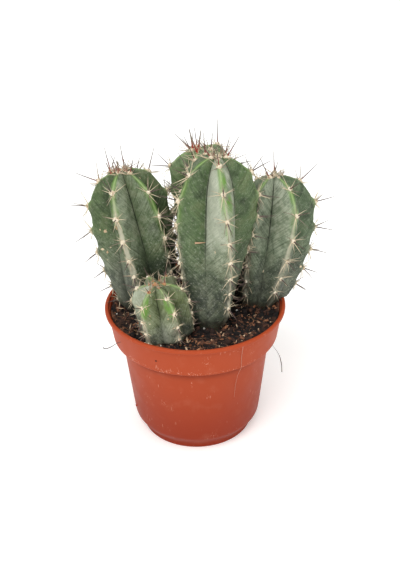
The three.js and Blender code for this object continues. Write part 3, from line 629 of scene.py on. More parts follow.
def rounded(outline, steps=5):
    """An outline of (radius, height, rounding) with each corner cut back and bent over by its rounding."""
    points = [np.array(corner[:2], float) for corner in outline]
    path = [points[0]]
    for before, corner, after, (_, _, rounding) in zip(points, points[1:], points[2:], outline[1:]):
        to_before, to_after = before - corner, after - corner
        cut = min(rounding, 0.5 * np.linalg.norm(to_before), 0.5 * np.linalg.norm(to_after))
        if cut <= 0:
            path.append(corner)
            continue
        start = corner + to_before / np.linalg.norm(to_before) * cut
        end = corner + to_after / np.linalg.norm(to_after) * cut
        for step in range(steps + 1):
            t = step / steps
            path.append((1 - t) ** 2 * start + 2 * t * (1 - t) * corner + t * t * end)
    path.append(points[-1])
    return path


def circle(sides):
    """The directions of a round shape's corners, in radians."""
    return np.arange(sides) * 2 * math.pi / sides


def ring_at(radius, height, sides):
    """The corners of a level ring about the upright axis."""
    angles = circle(sides)
    return np.stack([radius * np.cos(angles), radius * np.sin(angles), np.full(sides, height)], -1)


def turned(path, sides):
    """Points and faces of a path of (radius, height) turned about the upright axis, both ends on the axis."""
    rows = [ring_at(radius, height, sides) for radius, height in path[1:-1]]
    points = np.concatenate(rows + [[[0, 0, path[0][1]], [0, 0, path[-1][1]]]])
    count = len(rows) * sides
    return points, grid_faces(len(rows), sides, bottom=count, top=count + 1)


def hoops(side, other, sides):
    """Round rings of radius 1, one for each pair of directions across them."""
    turns = circle(sides)
    return side[:, None, :] * np.cos(turns)[None, :, None] + other[:, None, :] * np.sin(turns)[None, :, None]


def ball(detail):
    """Points and faces of a ball of radius 1."""
    build = bmesh.new()
    bmesh.ops.create_icosphere(build, subdivisions=detail, radius=1)
    points = np.array([vertex.co for vertex in build.verts])
    faces = [tuple(vertex.index for vertex in face.verts) for face in build.faces]
    build.free()
    return points, faces


def repeated(pattern, count, per):
    """The faces of a number of like shapes, from those of the first and its number of points."""
    return [tuple(corner + index * per for corner in face) for index in range(count) for face in pattern]


def drilled(piece, places, radius, height):
    """Cuts round upright holes through a piece and keeps the result as its mesh."""
    cutter_mesh = bpy.data.meshes.new("cutter")
    build = bmesh.new()
    for x, y in places:
        where = Matrix.Translation((x * MM, y * MM, height * MM / 2))
        bmesh.ops.create_cone(
            build, cap_ends=True, segments=32, radius1=radius * MM, radius2=radius * MM,
            depth=3 * height * MM, matrix=where,
        )
    build.to_mesh(cutter_mesh)
    build.free()
    cutter = bpy.data.objects.new("cutter", cutter_mesh)
    bpy.context.scene.collection.objects.link(cutter)
    cut = piece.modifiers.new("holes", "BOOLEAN")
    cut.object = cutter
    cut.solver = "EXACT"
    bpy.context.view_layer.update()
    shaped = bpy.data.meshes.new_from_object(piece.evaluated_get(bpy.context.evaluated_depsgraph_get()))
    piece.modifiers.clear()
    piece.data = shaped
    bpy.data.objects.remove(cutter)
    bpy.data.meshes.remove(cutter_mesh)


def smooth_step(value, low, high):
    """0 before low and 1 after high, with a soft step between. Low may also be the greater one."""
    t = np.clip((np.asarray(value, float) - low) / (high - low), 0, 1)
    return t * t * (3 - 2 * t)


def steady_random(seed):
    """Numbers from 0 to 1 in a fixed order, with which the part's source draws the same spines."""
    state = seed
    while True:
        state = state * 16807 % 2147483647
        yield state / 2147483647


def unit(vectors):
    """Vectors brought to a length of 1."""
    return vectors / np.linalg.norm(vectors, axis=-1, keepdims=True)


# Soil surface


def crossed_waves(x, y, length):
    """A level pattern of bumps of a given length, from -1 to 1."""
    turn = 2 * math.pi / length
    return np.sin(turn * x + 1) * np.cos(turn * y - 1)


def soil_height(x, y):
    """Height of the plain soil, as in the part's source."""
    edge = smooth_step(np.hypot(x, y), SOIL_EDGE_FROM, SOIL_EDGE_TO)
    relief = 0.6 * crossed_waves(x, y, COARSE_BUMP) + 0.4 * crossed_waves(x - y, x + y, FINE_BUMP)
    return (SOIL_LEVEL + SOIL_RELIEF * relief) * (1 - edge) + SOIL_EDGE_LEVEL * edge


def bed_height(x, y):
    """The crumbly top of the peat, which lies higher against the pot's wall."""
    heap = SOIL_HEAP * smooth_step(np.hypot(x, y), SOIL_EDGE_FROM, SOIL_EDGE_TO)
    crumble = [
        sum(deep * noise.noise(Vector((px / wide, py / wide, layer))) for wide, deep, layer in SOIL_CRUMBLE)
        for px, py in zip(x, y)
    ]
    return soil_height(x, y) + heap + np.array(crumble)


# Stem surface


def middle_line(stem, share):
    """Centre points with the directions right of and in front of them, at shares of the stem's height."""
    share = np.asarray(share, float)[..., None]
    base = np.array([*stem["base"], STEM_LEVEL])
    rise = np.array(stem["top"], float) - base
    bow = np.array([*stem["bow"], 0.0])
    centre = base + rise * share + bow * 4 * share * (1 - share)
    along = unit(rise + bow * 4 * (1 - 2 * share))
    right = unit(np.array([1.0, 0, 0]) - along * along[..., :1])
    return centre, right, np.cross(right, along)


def stem_radius(stem, share):
    """The rib radius: it swells from the foot, tucks in at the soil and ends in a dome."""
    growth = np.sin(np.clip(share / stem["full_at"], 0, 1) * math.pi / 2) ** stem["swell"]
    body = stem["base_radius"] + (stem["full_radius"] - stem["base_radius"]) * growth
    up = np.clip((share - stem["dome_from"]) / (1 - stem["dome_from"]), 0, 1)
    dome = np.maximum(1 - up ** stem["dome_power"], 0) ** (1 / stem["dome_root"])
    low = np.maximum(1 - share / FOOT_SHARE, 0)
    return body * dome * (1 - stem["foot_tuck"] * low * low)


def rib_at(rib, share):
    """A rib's angle in radians and its reach at a share of the height."""
    from_angle, to_angle, reach_from, reach_to, _ = rib
    angle = np.radians(from_angle + (to_angle - from_angle) * share)
    return angle, reach_from + (reach_to - reach_from) * share ** REACH_POWER


def section_point(stem, rib_index, side, flank, share, rise=0.0):
    """Right and front offsets of a point on a rib: flank 0 is its crest, 1 the valley on its side."""
    share = np.asarray(share, float)
    ribs = stem["ribs"]
    angle, reach = rib_at(ribs[rib_index], share)
    next_angle, next_reach = rib_at(ribs[(rib_index + side) % len(ribs)], share)
    turn = np.mod((next_angle - angle) * side, 2 * math.pi) * side
    radius = stem_radius(stem, share)
    depth = VALLEY_AT_BASE + (VALLEY_AT_TOP - VALLEY_AT_BASE) * smooth_step(share, 0, VALLEY_FULL_AT)
    middle = angle + turn / 2
    crest = np.stack([np.sin(angle), np.cos(angle)], -1) * (radius * reach + rise)[..., None]
    valley = np.stack([np.sin(middle), np.cos(middle)], -1)
    valley = valley * (radius * depth * (reach + next_reach) / 2)[..., None]
    across = np.stack([crest[..., 1] - valley[..., 1], valley[..., 0] - crest[..., 0]], -1)
    outward = across / np.maximum(np.linalg.norm(across, axis=-1, keepdims=True), 1e-9) * side
    rounding = (1 - math.exp(-flank / CREST_ROUNDING)) * np.minimum(radius / CREST_FADE_RADIUS, 1)
    swelling = CREST_HALF_WIDTH * rounding * (1 - flank) + 4 * flank * (1 - flank) * FLANK_BULGE * radius
    return crest + (valley - crest) * flank + outward * swelling[..., None], outward


def held_by_pot(points):
    """Points drawn in to where the pot's wall holds a rib, which swells out over the rim above it."""
    radius = np.hypot(points[..., 0], points[..., 1])
    level = points[..., 2]
    most = WALL_ROOM_RADIUS + WALL_ROOM_SLOPE * (level - STEM_LEVEL)
    most = np.where(level > POT_HEIGHT + RIM_ROOM, np.inf, most)
    drawn = np.minimum(most / np.maximum(radius, 1e-6), 1)
    return points * np.stack([drawn, drawn, np.ones_like(drawn)], -1)


def stem_point(stem, rib_index, side, flank, share, rise=0.0, lift=0.0):
    """A point on the stem's surface, lifted off it by a small distance."""
    share = np.asarray(share, float)
    centre, right, front = middle_line(stem, share)
    flat, outward = section_point(stem, rib_index, side, flank, share, np.asarray(rise, float))
    flat = flat + outward * np.asarray(lift, float)[..., None]
    return held_by_pot(centre + right * flat[..., :1] + front * flat[..., 1:])


def crest_ways(stem, rib_index):
    """Shares of the height down a crest with the way along it from the tip."""
    share = 1 - (np.arange(CREST_POINTS + 1) / CREST_POINTS) ** 2
    points = stem_point(stem, rib_index, 1, 0, share)
    steps = np.linalg.norm(np.diff(points, axis=0), axis=1)
    return share, np.concatenate([[0], np.cumsum(steps)])


def cushion_shares(stem, rib_index):
    """Shares of the stem's height where a rib carries a spine cushion, from the tip down."""
    share, way = crest_ways(stem, rib_index)
    first_step = stem["cushion_step"]
    target, step, found = stem["ribs"][rib_index][4], first_step, []
    for place, travelled in zip(share[1:], way[1:]):
        if travelled >= target and place > LOWEST_CUSHION:
            found.append(place)
            target += step
            step = first_step * max(step / first_step - CUSHION_STEP_FALL, CUSHION_STEP_LEAST)
    return np.array(found)


def nearest_cushion(way, cushions):
    """Signed way from the nearest cushion: positive above it, towards the tip."""
    offsets = cushions[None, :] - way.ravel()[:, None]
    best = offsets[np.arange(len(offsets)), np.abs(offsets).argmin(1)]
    return best.reshape(way.shape)


def wax_on(stem, rib, side, flank, share):
    """How thick the bloom is: each flank has its own, and they blend at the crest and the valley."""
    rise = smooth_step(share, *WAX_TURNS)

    def own(number, towards):
        low, high = stem["wax"][number][2:] if towards > 0 else stem["wax"][number][:2]
        return low + (high - low) * rise

    here, across = own(rib, side), own(rib, -side)
    # Low down the wax lasts longest in the furrow
    lasting = WAX_KEPT * float(smooth_step(flank, *WAX_IN_FURROW)) - WAX_LOST
    here = here * (1 + lasting * smooth_step(share, *WAX_WORN))
    beyond = own((rib + side) % len(stem["ribs"]), -side)
    at_crest, at_valley = smooth_step(flank, *WAX_BLENDS_AT_CREST), smooth_step(flank, *WAX_BLENDS_IN_FURROW)
    return here + (across - here) * 0.5 * at_crest + (beyond - here) * 0.5 * at_valley


def cork_on(stem, rib, side, flank, share):
    """How much of the dry strip beside a crest shows: a hair line near the tip, wider towards the foot."""
    width = CORK_THIN + CORK_ADDED * smooth_step(share, *CORK_WIDENS)
    sides = stem["cork"][rib]
    amount = sides[side > 0] if flank else sum(sides) / 2
    top = CORK_TOP + CORK_TOP_ADDED * amount
    return amount * smooth_step(flank / width, *CORK_EDGE) * smooth_step(share, top, top - CORK_FADE)


def fresh_on(stem, rib, side, flank, share):
    """How fresh the skin is: new beside the crests near the tip, and in a lens between some young ribs."""
    crest = FRESH_CREST * smooth_step(flank, *FRESH_FLANK) * smooth_step(share, *FRESH_SHARE)
    across, up = (flank - LENS_MIDDLE[0]) / LENS_HALF[0], (share - LENS_MIDDLE[1]) / LENS_HALF[1]
    lens = smooth_step(across ** 2 + up ** 2, *LENS_EDGE)
    return np.maximum(crest, LENS_FRESH * lens * ((rib, side) in stem["lenses"]))


def hump(distance, width):
    """A bell of height 1 about 0, whose sides have a given width."""
    return np.exp(-((distance / width) ** 2))


def stem_mesh(stem):
    """Points, faces and skin coordinates of a stem with its ribs, notches and cushions' swellings."""
    share = 1 - (1 - np.linspace(0, 1, STEM_ROWS + 1)[:-1]) ** 2
    size = stem["spine_scale"] ** FORM_POWER
    count = len(stem["ribs"])
    ways, cushions = [], []
    for index in range(count):
        down, way = crest_ways(stem, index)
        ways.append(np.interp(share, down[::-1], way[::-1]))
        cushions.append(np.interp(cushion_shares(stem, index), down[::-1], way[::-1]))
    fade = np.minimum(stem_radius(stem, share) / CREST_FADE_RADIUS, 1)
    columns = []
    skin = {label: [] for label in ("flank", "share", "grain", "cushion", "wax", "cork", "fresh")}
    for index in range(count):
        following = (index + 1) % count
        legs = [(index, 1, flank) for flank in FLANK_STEPS]
        legs += [(index, 1, 1.0)] + [(following, -1, flank) for flank in FLANK_STEPS[:0:-1]]
        for rib, side, flank in legs:
            way = ways[rib]
            near = nearest_cushion(way, cushions[rib])
            bump = CUSHION_RISE * hump(near, BUMP_WIDTH)
            notch = NOTCH_DEPTH * hump(near - NOTCH_ABOVE * size, NOTCH_WIDTH)
            sag = CREST_SAG * (1 - hump(near, SAG_WIDTH))
            rise = (bump - notch - sag) * size * fade * hump(flank, CREST_REACH)
            fold = nearest_cushion(way - TUBERCLE_DROP * size * flank, cushions[rib])
            lift = TUBERCLE_RISE * size * hump(fold, TUBERCLE_WIDTH) * (1 - flank) * min(flank / 0.1, 1)
            ripple = [
                noise.noise(Vector((7 * rib + side * 3 * flank, w / RIPPLE_LENGTH, rib + side * flank)))
                for w in way
            ]
            lift = fade * (lift + RIPPLE_HEIGHT * np.array(ripple) * 4 * flank * (1 - flank))
            surface = stem_point(stem, rib, side, flank, share, rise, lift)
            if flank == 1:
                deepening = GROOVE_LOW_SHARE + (1 - GROOVE_LOW_SHARE) * smooth_step(share, *GROOVE_DEEPENS)
                deep = GROOVE_DEPTH * size * fade * deepening
                surface = surface - unit(surface - middle_line(stem, share)[0]) * deep[:, None]
            columns.append(surface)
            across = np.full(len(share), FLANK_WIDTH * flank * side + RIB_STRIDE * rib)
            for label, values in (
                ("flank", np.full(len(share), flank)),
                ("share", share),
                ("grain", np.stack([way - STREAK_RISE * flank, across, way], -1)),
                ("cushion", hump(near, CUSHION_HALO) * hump(flank, CREST_REACH)),
                ("wax", wax_on(stem, rib, side, flank, share)),
                ("cork", cork_on(stem, rib, side, flank, share)),
                ("fresh", fresh_on(stem, rib, side, flank, share)),
            ):
                skin[label].append(values)
    body = np.stack(columns, 1)
    middle = np.array([*stem["base"], 0.0])
    foot = body[0] - middle
    buried = [middle + foot * [narrow, narrow, 1] - [0, 0, depth] for narrow, depth in BURIED_RINGS]
    body = np.concatenate([np.stack(buried), body])
    rows, sides = body.shape[:2]
    ends = np.array([[*stem["base"], STEM_LEVEL - BURIED_RINGS[0][1]], stem["top"]], float)
    points = np.concatenate([body.reshape(-1, 3), ends])
    # The values at the root end and at the tip, where they aren't 0
    end_values = {"flank": (0.5, 0.5), "share": (0, 1), "wax": (0.3, 0.3), "fresh": (0, 1)}
    attributes = {}
    for label, values in skin.items():
        grid = np.stack(values, 1).astype(float)
        flat = np.concatenate([grid[:1], grid[:1], grid]).reshape(-1, *grid.shape[2:])
        both = [np.full(grid.shape[2:], value) for value in end_values.get(label, (0, 0))]
        attributes[label] = np.concatenate([flat, np.stack(both)])
    return points, grid_faces(rows, sides, bottom=rows * sides, top=rows * sides + 1), attributes


# Spines


def frame_on_crest(stem, rib, order, share):
    """A rib, an order and a share, the place on the crest, and the directions up, out and across."""
    place = stem_point(stem, rib, 1, 0, share, CUSHION_RISE)
    above = stem_point(stem, rib, 1, 0, min(share + 0.01, 1))
    below = stem_point(stem, rib, 1, 0, share - 0.01)
    up = unit(above - below)
    out = place - middle_line(stem, share)[0]
    out = unit(out - up * out.dot(up))
    return rib, order, share, place, up, out, np.cross(up, out)


def cushion_frames(stem):
    """Each spine cushion: its rib, order from the tip, share, place, and directions up, out and across."""
    return [
        frame_on_crest(stem, rib, order, share)
        for rib in range(len(stem["ribs"]))
        for order, share in enumerate(cushion_shares(stem, rib))
    ]


def crown_frames(stem):
    """Small new cushions at the very tip, on the ribs whose first one sits further down."""
    frames = []
    for rib, (*_, first) in enumerate(stem["ribs"]):
        if first >= NEW_CUSHION_FROM:
            share, way = crest_ways(stem, rib)
            tip = np.interp(NEW_CUSHION_WAY * stem["spine_scale"] ** 0.5, way, share)
            frames.append(frame_on_crest(stem, rib, 0, tip))
    return frames


def reach_table(stem):
    """How far the stem's surface lies from its middle line, for shares of the height and directions."""
    directions = np.radians(np.arange(0, 360, REACH_TURN))
    table = []
    for share in np.linspace(0, REACH_TOP, REACH_ROWS):
        flat = np.array([
            section_point(stem, rib, side, flank, share)[0]
            for rib in range(len(stem["ribs"]))
            for side in (-1, 1)
            for flank in (0, 0.05, 0.14, 0.3, 0.5, 0.75, 1)
        ])
        angle, radius = np.arctan2(flat[:, 0], flat[:, 1]), np.hypot(flat[:, 0], flat[:, 1])
        table.append(np.interp(directions, angle, radius, period=2 * math.pi))
    return np.array(table)


def room_beside(stem, table, points):
    """How far points lie outside a stem."""
    base = np.array([*stem["base"], STEM_LEVEL])
    rise = np.array(stem["top"], float) - base
    share = (points - base) @ rise / rise.dot(rise)
    inside = np.clip(share, 0, REACH_TOP)
    centre, right, front = middle_line(stem, inside)
    local = points - centre
    x, y = (local * right).sum(-1), (local * front).sum(-1)
    row = np.rint(inside / REACH_TOP * (len(table) - 1)).astype(int)
    column = np.rint(np.degrees(np.arctan2(x, y)) / REACH_TURN).astype(int) % table.shape[1]
    room = np.hypot(x, y) - table[row, column]
    return np.where((share > 1.0) | (share < -0.05), np.inf, room)


def cut_to_room(root, direction, length, others):
    """Spine lengths cut back where they would enter a stem, the soil or the rim, or leave the frame's box."""
    steps = np.linspace(0.15, 1, 12)
    points = root[:, None, :] + direction[:, None, :] * (length[:, None] * steps)[..., None]
    flat = points.reshape(-1, 3)
    blocked = np.zeros(len(flat), bool)
    for stem, table in others:
        blocked |= room_beside(stem, table, flat) < ROOM_TO_STEM
    radius = np.hypot(flat[:, 0], flat[:, 1])
    blocked |= (flat[:, 2] < soil_height(flat[:, 0], flat[:, 1]) + ROOM_TO_SOIL) & (radius < RIM_RADIUS)
    blocked |= (flat[:, 2] < POT_HEIGHT + ROOM_TO_RIM) & (radius > RIM_RADIUS - LIP_INSET - 1)
    low, high = (np.array(corner) / MM for corner in CAD_BOX)
    blocked |= ((flat < low + ROOM_TO_BOX) | (flat > high - ROOM_TO_BOX)).any(-1)
    blocked = np.maximum.accumulate(blocked.reshape(len(root), -1), axis=1)
    free = np.where(blocked, 0, steps[None, :]).max(1)
    return length * free


def spine_draws(stem, seed, rng):
    """Root, direction, length, stoutness, tone and youth of every spine of a stem."""
    draw = steady_random(seed)
    scale = stem["spine_scale"]
    rows = []

    def between(least_most):
        return least_most[0] + (least_most[1] - least_most[0]) * next(draw)

    for rib, order, share, place, up, out, across in cushion_frames(stem):
        size = scale * (1 - OLD_SPINE_LOSS * min(order / OLD_CUSHION, 1))
        young = 0.5 * float(order == 0) * smooth_step(share, YOUNG_FROM, YOUNG_TO)
        deep = place - out * CUSHION_DEPTH / 2
        tilt, sway = between(CENTRAL_TILT), between(CENTRAL_SWAY)
        way = unit(out + up * tilt + across * sway)
        rows.append((deep, way, size * between(CENTRAL_LENGTH), 1.0, 1.0, young))
        for radial in range(RADIALS):
            turn = 2 * math.pi * (radial + between(RADIAL_TURN)) / RADIALS - math.pi / 2
            lift = between(RADIAL_LIFT)
            sideways = across * math.cos(turn) + up * math.sin(turn)
            root = place + sideways * CUSHION_RADIUS - out * CUSHION_DEPTH
            way = unit(sideways + out * lift)
            rows.append((root, way, size * between(RADIAL_LENGTH), 0.0, 0.25, 0.25 * young))
        # The finer spines between those of the part's source
        extra = FINE_YOUNG if order < FINE_YOUNG_CUSHIONS else FINE_OLD
        if share > FINE_TIP_FROM:
            extra = FINE_NEAR_TIP
        for radial in range(extra):
            turn = 2 * math.pi * (radial + 0.5 + rng.uniform(*FINE_TURN)) / extra - math.pi / 2
            sideways = across * math.cos(turn) + up * math.sin(turn)
            root = place + sideways * CUSHION_RADIUS * rng.uniform(*FINE_ROOT) - out * CUSHION_DEPTH * 0.8
            length = size * rng.uniform(*FINE_LENGTH)
            way = unit(sideways + out * rng.uniform(*FINE_LIFT))
            rows.append((root, way, length, 0.0, rng.choice(FINE_TONES), 0.2 * young))
        if rng.random() < SECOND_CHANCE:
            way = unit(out + up * rng.uniform(*SECOND_TILT) + across * rng.uniform(*SECOND_SWAY))
            length = size * rng.uniform(*SECOND_LENGTH)
            rows.append((deep, way, length, SECOND_STOUT, rng.uniform(*SECOND_TONE), 0.3 * young))
    for _, _, _, place, up, out, across in crown_frames(stem):
        for _ in range(TIP_SPINES):
            way = unit(out + up * rng.uniform(*TIP_TILT) + across * rng.uniform(*TIP_SWAY))
            length = scale * rng.uniform(*TIP_LENGTH)
            root = place - out * CUSHION_DEPTH / 2
            rows.append((root, way, length, TIP_STOUT, rng.uniform(*TIP_TONE), TIP_RED))
    # New centrals stand up stout and red from the ribs' ends
    count, ribs, least, most, stout, red = stem["crown"]
    for number in range(count):
        rib = ribs[number % len(ribs)]
        share, way = crest_ways(stem, rib)
        tip = np.interp(CROWN_WAY + CROWN_WAY_MORE * number / count, way, share)
        _, _, _, place, _, out, _ = frame_on_crest(stem, rib, 0, tip)
        stand = unit(np.array([rng.uniform(*CROWN_SIDEWAYS), 0, 1.0]) + CROWN_LEAN * out)
        rows.append((place - stand, stand, rng.uniform(least, most), stout, CROWN_TONE * scale, red))
    return [np.array(column, float) for column in zip(*rows)]


def spine_mesh(root, direction, length, radius, bend):
    """Tapered needles with a slight bend, each with a point. Also the share of the way to each one's tip."""
    side = np.cross(direction, np.array([0, 0, 1.0]))
    side = np.where(np.linalg.norm(side, axis=1, keepdims=True) < 0.1, np.array([[1.0, 0, 0]]), side)
    side = unit(side)
    hoop = hoops(side, np.cross(direction, side), SPINE_SIDES)
    rings = []
    for t in SPINE_RINGS:
        centre = root + direction * (length * t)[:, None] + bend * (t * t)
        rings.append(centre[:, None, :] + hoop * (radius * (1 - 0.75 * t))[:, None, None])
    tip = root + direction * length[:, None] + bend
    block = np.concatenate([np.stack(rings, 1).reshape(len(root), -1, 3), tip[:, None, :]], 1)
    per = block.shape[1]
    pattern = grid_faces(len(SPINE_RINGS), SPINE_SIDES, top=per - 1)
    reached = np.append(np.repeat(SPINE_RINGS, SPINE_SIDES), 1.0)
    return block.reshape(-1, 3), repeated(pattern, len(root), per), np.tile(reached, len(root)), per


# Small loose things


def lumps(places, sizes, rng, rough=0.25, detail=1):
    """Irregular lumps of given sizes at given places, turned at random, with one tone each."""
    shape, pattern = ball(detail)
    count, per = len(places), len(shape)
    spins = [Vector(rng.normal(size=3)).normalized() for _ in range(count)]
    turns = np.array([Matrix.Rotation(rng.uniform(0, 2 * math.pi), 3, axis) for axis in spins])
    body = shape[None] * (1 + rough * rng.normal(size=(count, per, 1))) * sizes[:, None, :]
    points = np.einsum("nij,npj->npi", turns, body) + places[:, None, :]
    return points.reshape(-1, 3), repeated(pattern, count, per), np.repeat(rng.random(count), per)


def fibres(paths, radius, sides=4):
    """Thin round threads along paths of points."""
    points, faces, tones = [], [], []
    for number, path in enumerate(paths):
        path = np.asarray(path, float)
        along = unit(np.gradient(path, axis=0))
        # Any fixed direction does that no thread runs along
        side = unit(np.cross(along, [0.13, 0.21, 0.97]))
        taper = np.linspace(1, 0.35, len(path))[:, None, None]
        block = path[:, None] + hoops(side, np.cross(along, side), sides) * radius * taper
        start = sum(map(len, points))
        count = len(path) * sides
        pattern = grid_faces(len(path), sides, bottom=count, top=count + 1)
        faces += [tuple(corner + start for corner in face) for face in pattern]
        points.append(np.concatenate([block.reshape(-1, 3), path[:1], path[-1:]]))
        tones.append(np.full(count + 2, (number * 0.618) % 1))
    return np.concatenate(points), faces, np.concatenate(tones)


# Materials


def mask(tree, parts):
    """The product of parts: each an output, or a soft step of one from start to end, from least to most."""
    product = None
    for part in parts:
        if isinstance(part, tuple):
            sockets = ("Value", "From Min", "From Max", "To Min", "To Max")
            part = add(tree, "MapRange", dict(zip(sockets, part)), interpolation_type="SMOOTHSTEP")
        if product is not None:
            part = add(tree, "Math", {0: product, 1: part}, operation="MULTIPLY", use_clamp=True)
        product = part
    return product


def layered(tree, colour, layers):
    """A colour with tints laid over it in turn, each where the product of its parts says."""
    for tint, *parts in layers:
        colour = add(tree, "Mix", {0: mask(tree, parts), 6: colour, 7: tint}, out=2, data_type="RGBA")
    return colour


def moulded_polypropylene(settings):
    """Injection-moulded polypropylene: an even orange with a weak, broad gloss.

    Light has faded it in clouds, lime has dried on it in specks, and handling has left thin upright scuffs.
    Painted shade darkens it towards the bottom and under the collar.
    """
    material, tree, shader = new_material("Moulded_polypropylene")
    place = add(tree, "TexCoord", out="Object")
    height = add(tree, "SeparateXYZ", {0: place}, out="Z")
    fade, patch = (
        add(tree, "TexNoise", {"Vector": place, "Scale": PER_METRE / size, "Detail": 3})
        for size in (FADE_CLOUD, DUST_CLOUD)
    )
    specks = add(tree, "TexVoronoi", {"Vector": place, "Scale": PER_METRE / LIME_SPACING}, out="Distance")
    scuff_scale = [PER_METRE / size for size in SCUFF_SIZE]
    stretched = add(tree, "Mapping", {"Vector": place, "Scale": scuff_scale})
    scuff = add(tree, "TexNoise", {"Vector": stretched, "Scale": 1, "Detail": 1})
    # Lime gathers over the collar's lower edge
    from_line = add(tree, "Math", {0: height, 1: LIME_LINE * MM}, operation="SUBTRACT")
    from_line = add(tree, "Math", {0: from_line}, operation="ABSOLUTE")
    near_line = mask(tree, [(from_line, 3.5 * MM, 0.3 * MM, 0.0, 0.2)])
    limy = add(tree, "Math", {0: patch, 1: near_line}, operation="ADD", use_clamp=True)
    collar = COLLAR_BOTTOM * MM
    colour = layered(tree, settings.plastic, [
        # Painted shade: the plastic is drawn darker towards the bottom of the wall
        (settings.low_wall_shade, (height, 80 * MM, 0.0)),
        # Painted shade right under the collar, where the collar shades the wall
        (settings.shaded_plastic, (height, collar, collar - 0.4 * MM), (height, 62 * MM, collar, 0.0, 0.75)),
        (settings.dust, (fade, 0.52, 0.75, 0.0, 0.05)),
        (settings.dust, (specks, 0.36, 0.18), (limy, 0.6, 0.78, 0.0, 0.7)),
        (settings.dust, (scuff, 0.65, 0.73, 0.0, 0.35), (patch, 0.53, 0.64)),
    ])
    # The moulding grain is drawn coarser than the real one, so that it shows
    grain = add(tree, "TexNoise", {"Vector": place, "Scale": PER_METRE / MOULDING_GRAIN, "Detail": 2})
    plug(tree, shader, {
        "Base Color": colour,
        "Roughness": mask(tree, [(fade, 0.3, 0.7, 0.45, 0.56)]),
        "Normal": add(tree, "Bump", {"Strength": 0.25, "Distance": 0.1 * MM, "Height": grain}),
        "IOR": 1.49,
        "Specular IOR Level": 0.13,
    })
    return material


def waxy_cuticle(name, skin, furrow_shade, settings):
    """Grown cuticle under wax: green where it is rubbed, whitish and matt where the wax is whole.

    It is fresh and bright beside the young crests, corky on the old ones, and dark and mottled near the foot,
    partly as painted shade.
    """
    material, tree, shader = new_material(name)
    flank, share, cushion, wax, cork, fresh = (
        add(tree, "Attribute", out="Fac", attribute_name=label)
        for label in ("flank", "share", "cushion", "wax", "cork", "fresh")
    )
    grain = add(tree, "Attribute", out="Vector", attribute_name="grain")
    place = add(tree, "TexCoord", out="Object")
    broad, blotch, mottle = (
        add(tree, "TexNoise", {"Vector": place, "Scale": PER_METRE / wide, "Detail": fine, "Roughness": keen})
        for wide, fine, keen in SKIN_CLOUDS
    )
    # Streaks that climb from furrow to crest, and changes along each crest. The grain is in millimetres
    run = add(tree, "Mapping", {"Vector": grain, "Scale": (1 / STREAK_WIDTH, 1 / STREAK_LENGTH, 0)})
    streaky = {"Vector": run, "Scale": 1, "Detail": 4, "Roughness": 0.75, "Distortion": 0.5}
    streak = add(tree, "TexNoise", streaky)
    along = add(tree, "Mapping", {"Vector": grain, "Scale": (0, 1 / CREST_CHANGE[0], 1 / CREST_CHANGE[1])})
    stretch = add(tree, "TexNoise", {"Vector": along, "Scale": 1, "Detail": 2})

    dark = [part * SKIN_DARK for part in skin[:3]] + [1.0]
    light = [min(part * SKIN_LIGHT, 1) for part in skin[:3]] + [1.0]
    # Wax is rubbed off in streaks and blotches, but not where it is thick
    rubbed = mask(tree, [wax, (blotch, 0.34, 0.62, 0.45, 1.2), (streak, 0.34, 0.56, 0.4, 1.15)])
    whole = mask(tree, [(wax, 0.35, 0.95, 0.0, 0.8)])
    bloom = add(tree, "Math", {0: rubbed, 1: whole}, operation="MAXIMUM")
    aged = mask(tree, [(share, 0.8, 0.3, 0.55, 1.0)])
    colour = add(tree, "ValToRGB", {0: broad}, stops=[(0.3, dark), (0.5, skin), (0.75, light)])
    colour = layered(tree, colour, [
        # Browned by the sun in blotches, more of them low down
        (settings.tan, (broad, 0.5, 0.68, 0.0, 0.4)),
        (settings.tan, (share, 0.5, 0.2, 0.0, 0.5), (broad, 0.4, 0.6, 0.2, 1.0)),
        (light, (streak, 0.5, 0.68, 0.0, 0.7)),
        (dark, (streak, 0.47, 0.32, 0.0, 0.75)),
        # Old skin low down is darker, in blotches: partly the skin's own ageing, partly painted shade low
        # between the stems
        (settings.old, (share, 0.6, 0.15), (blotch, 0.62, 0.36, 0.6, 1.0)),
        (settings.bloom, bloom),
        # Old skin is the more mottled
        (settings.bloom, (mottle, 0.53, 0.64, 0.0, 0.36), aged),
        (dark, (mottle, 0.46, 0.34, 0.0, 0.6), aged),
        # New skin and cork, broken up along the crests
        (settings.fresh, fresh, (stretch, 0.38, 0.54, 0.3, 1.0)),
        # Painted highlight along the young crests
        (settings.crest, (flank, 0.05, 0.0, 0.0, 0.5), (share, 0.35, 0.75)),
        (settings.cork, cork, (stretch, 0.66, 0.45, 0.35, 1.0), (mottle, 0.3, 0.5, 0.6, 1.0)),
        (settings.cork, cushion, (mottle, 0.35, 0.6, 0.1, 0.5)),
        # Painted shade in the furrow: wide and soft low down, a dark line high up
        (settings.valley, (flank, 0.3, 1.0), (share, 0.6, 0.2, 0.12, furrow_shade)),
        (settings.valley, (flank, 0.95, 1.0, 0.0, 0.8), (share, 0.2, 0.7, 0.1, 1.0)),
        # Soil splashed on the foot
        (settings.splash, (share, 0.07, 0.0), (mottle, 0.42, 0.6)),
    ])
    relief = add(tree, "Math", {0: streak, 1: mottle}, operation="ADD")
    plug(tree, shader, {
        "Base Color": colour,
        "Roughness": mask(tree, [(mottle, 0.3, 0.7, 0.45, 0.65)]),
        "Normal": add(tree, "Bump", {"Strength": 0.8, "Distance": 0.5 * MM, "Height": relief}),
        "IOR": 1.42,
        "Specular IOR Level": 0.4,
    })
    return material


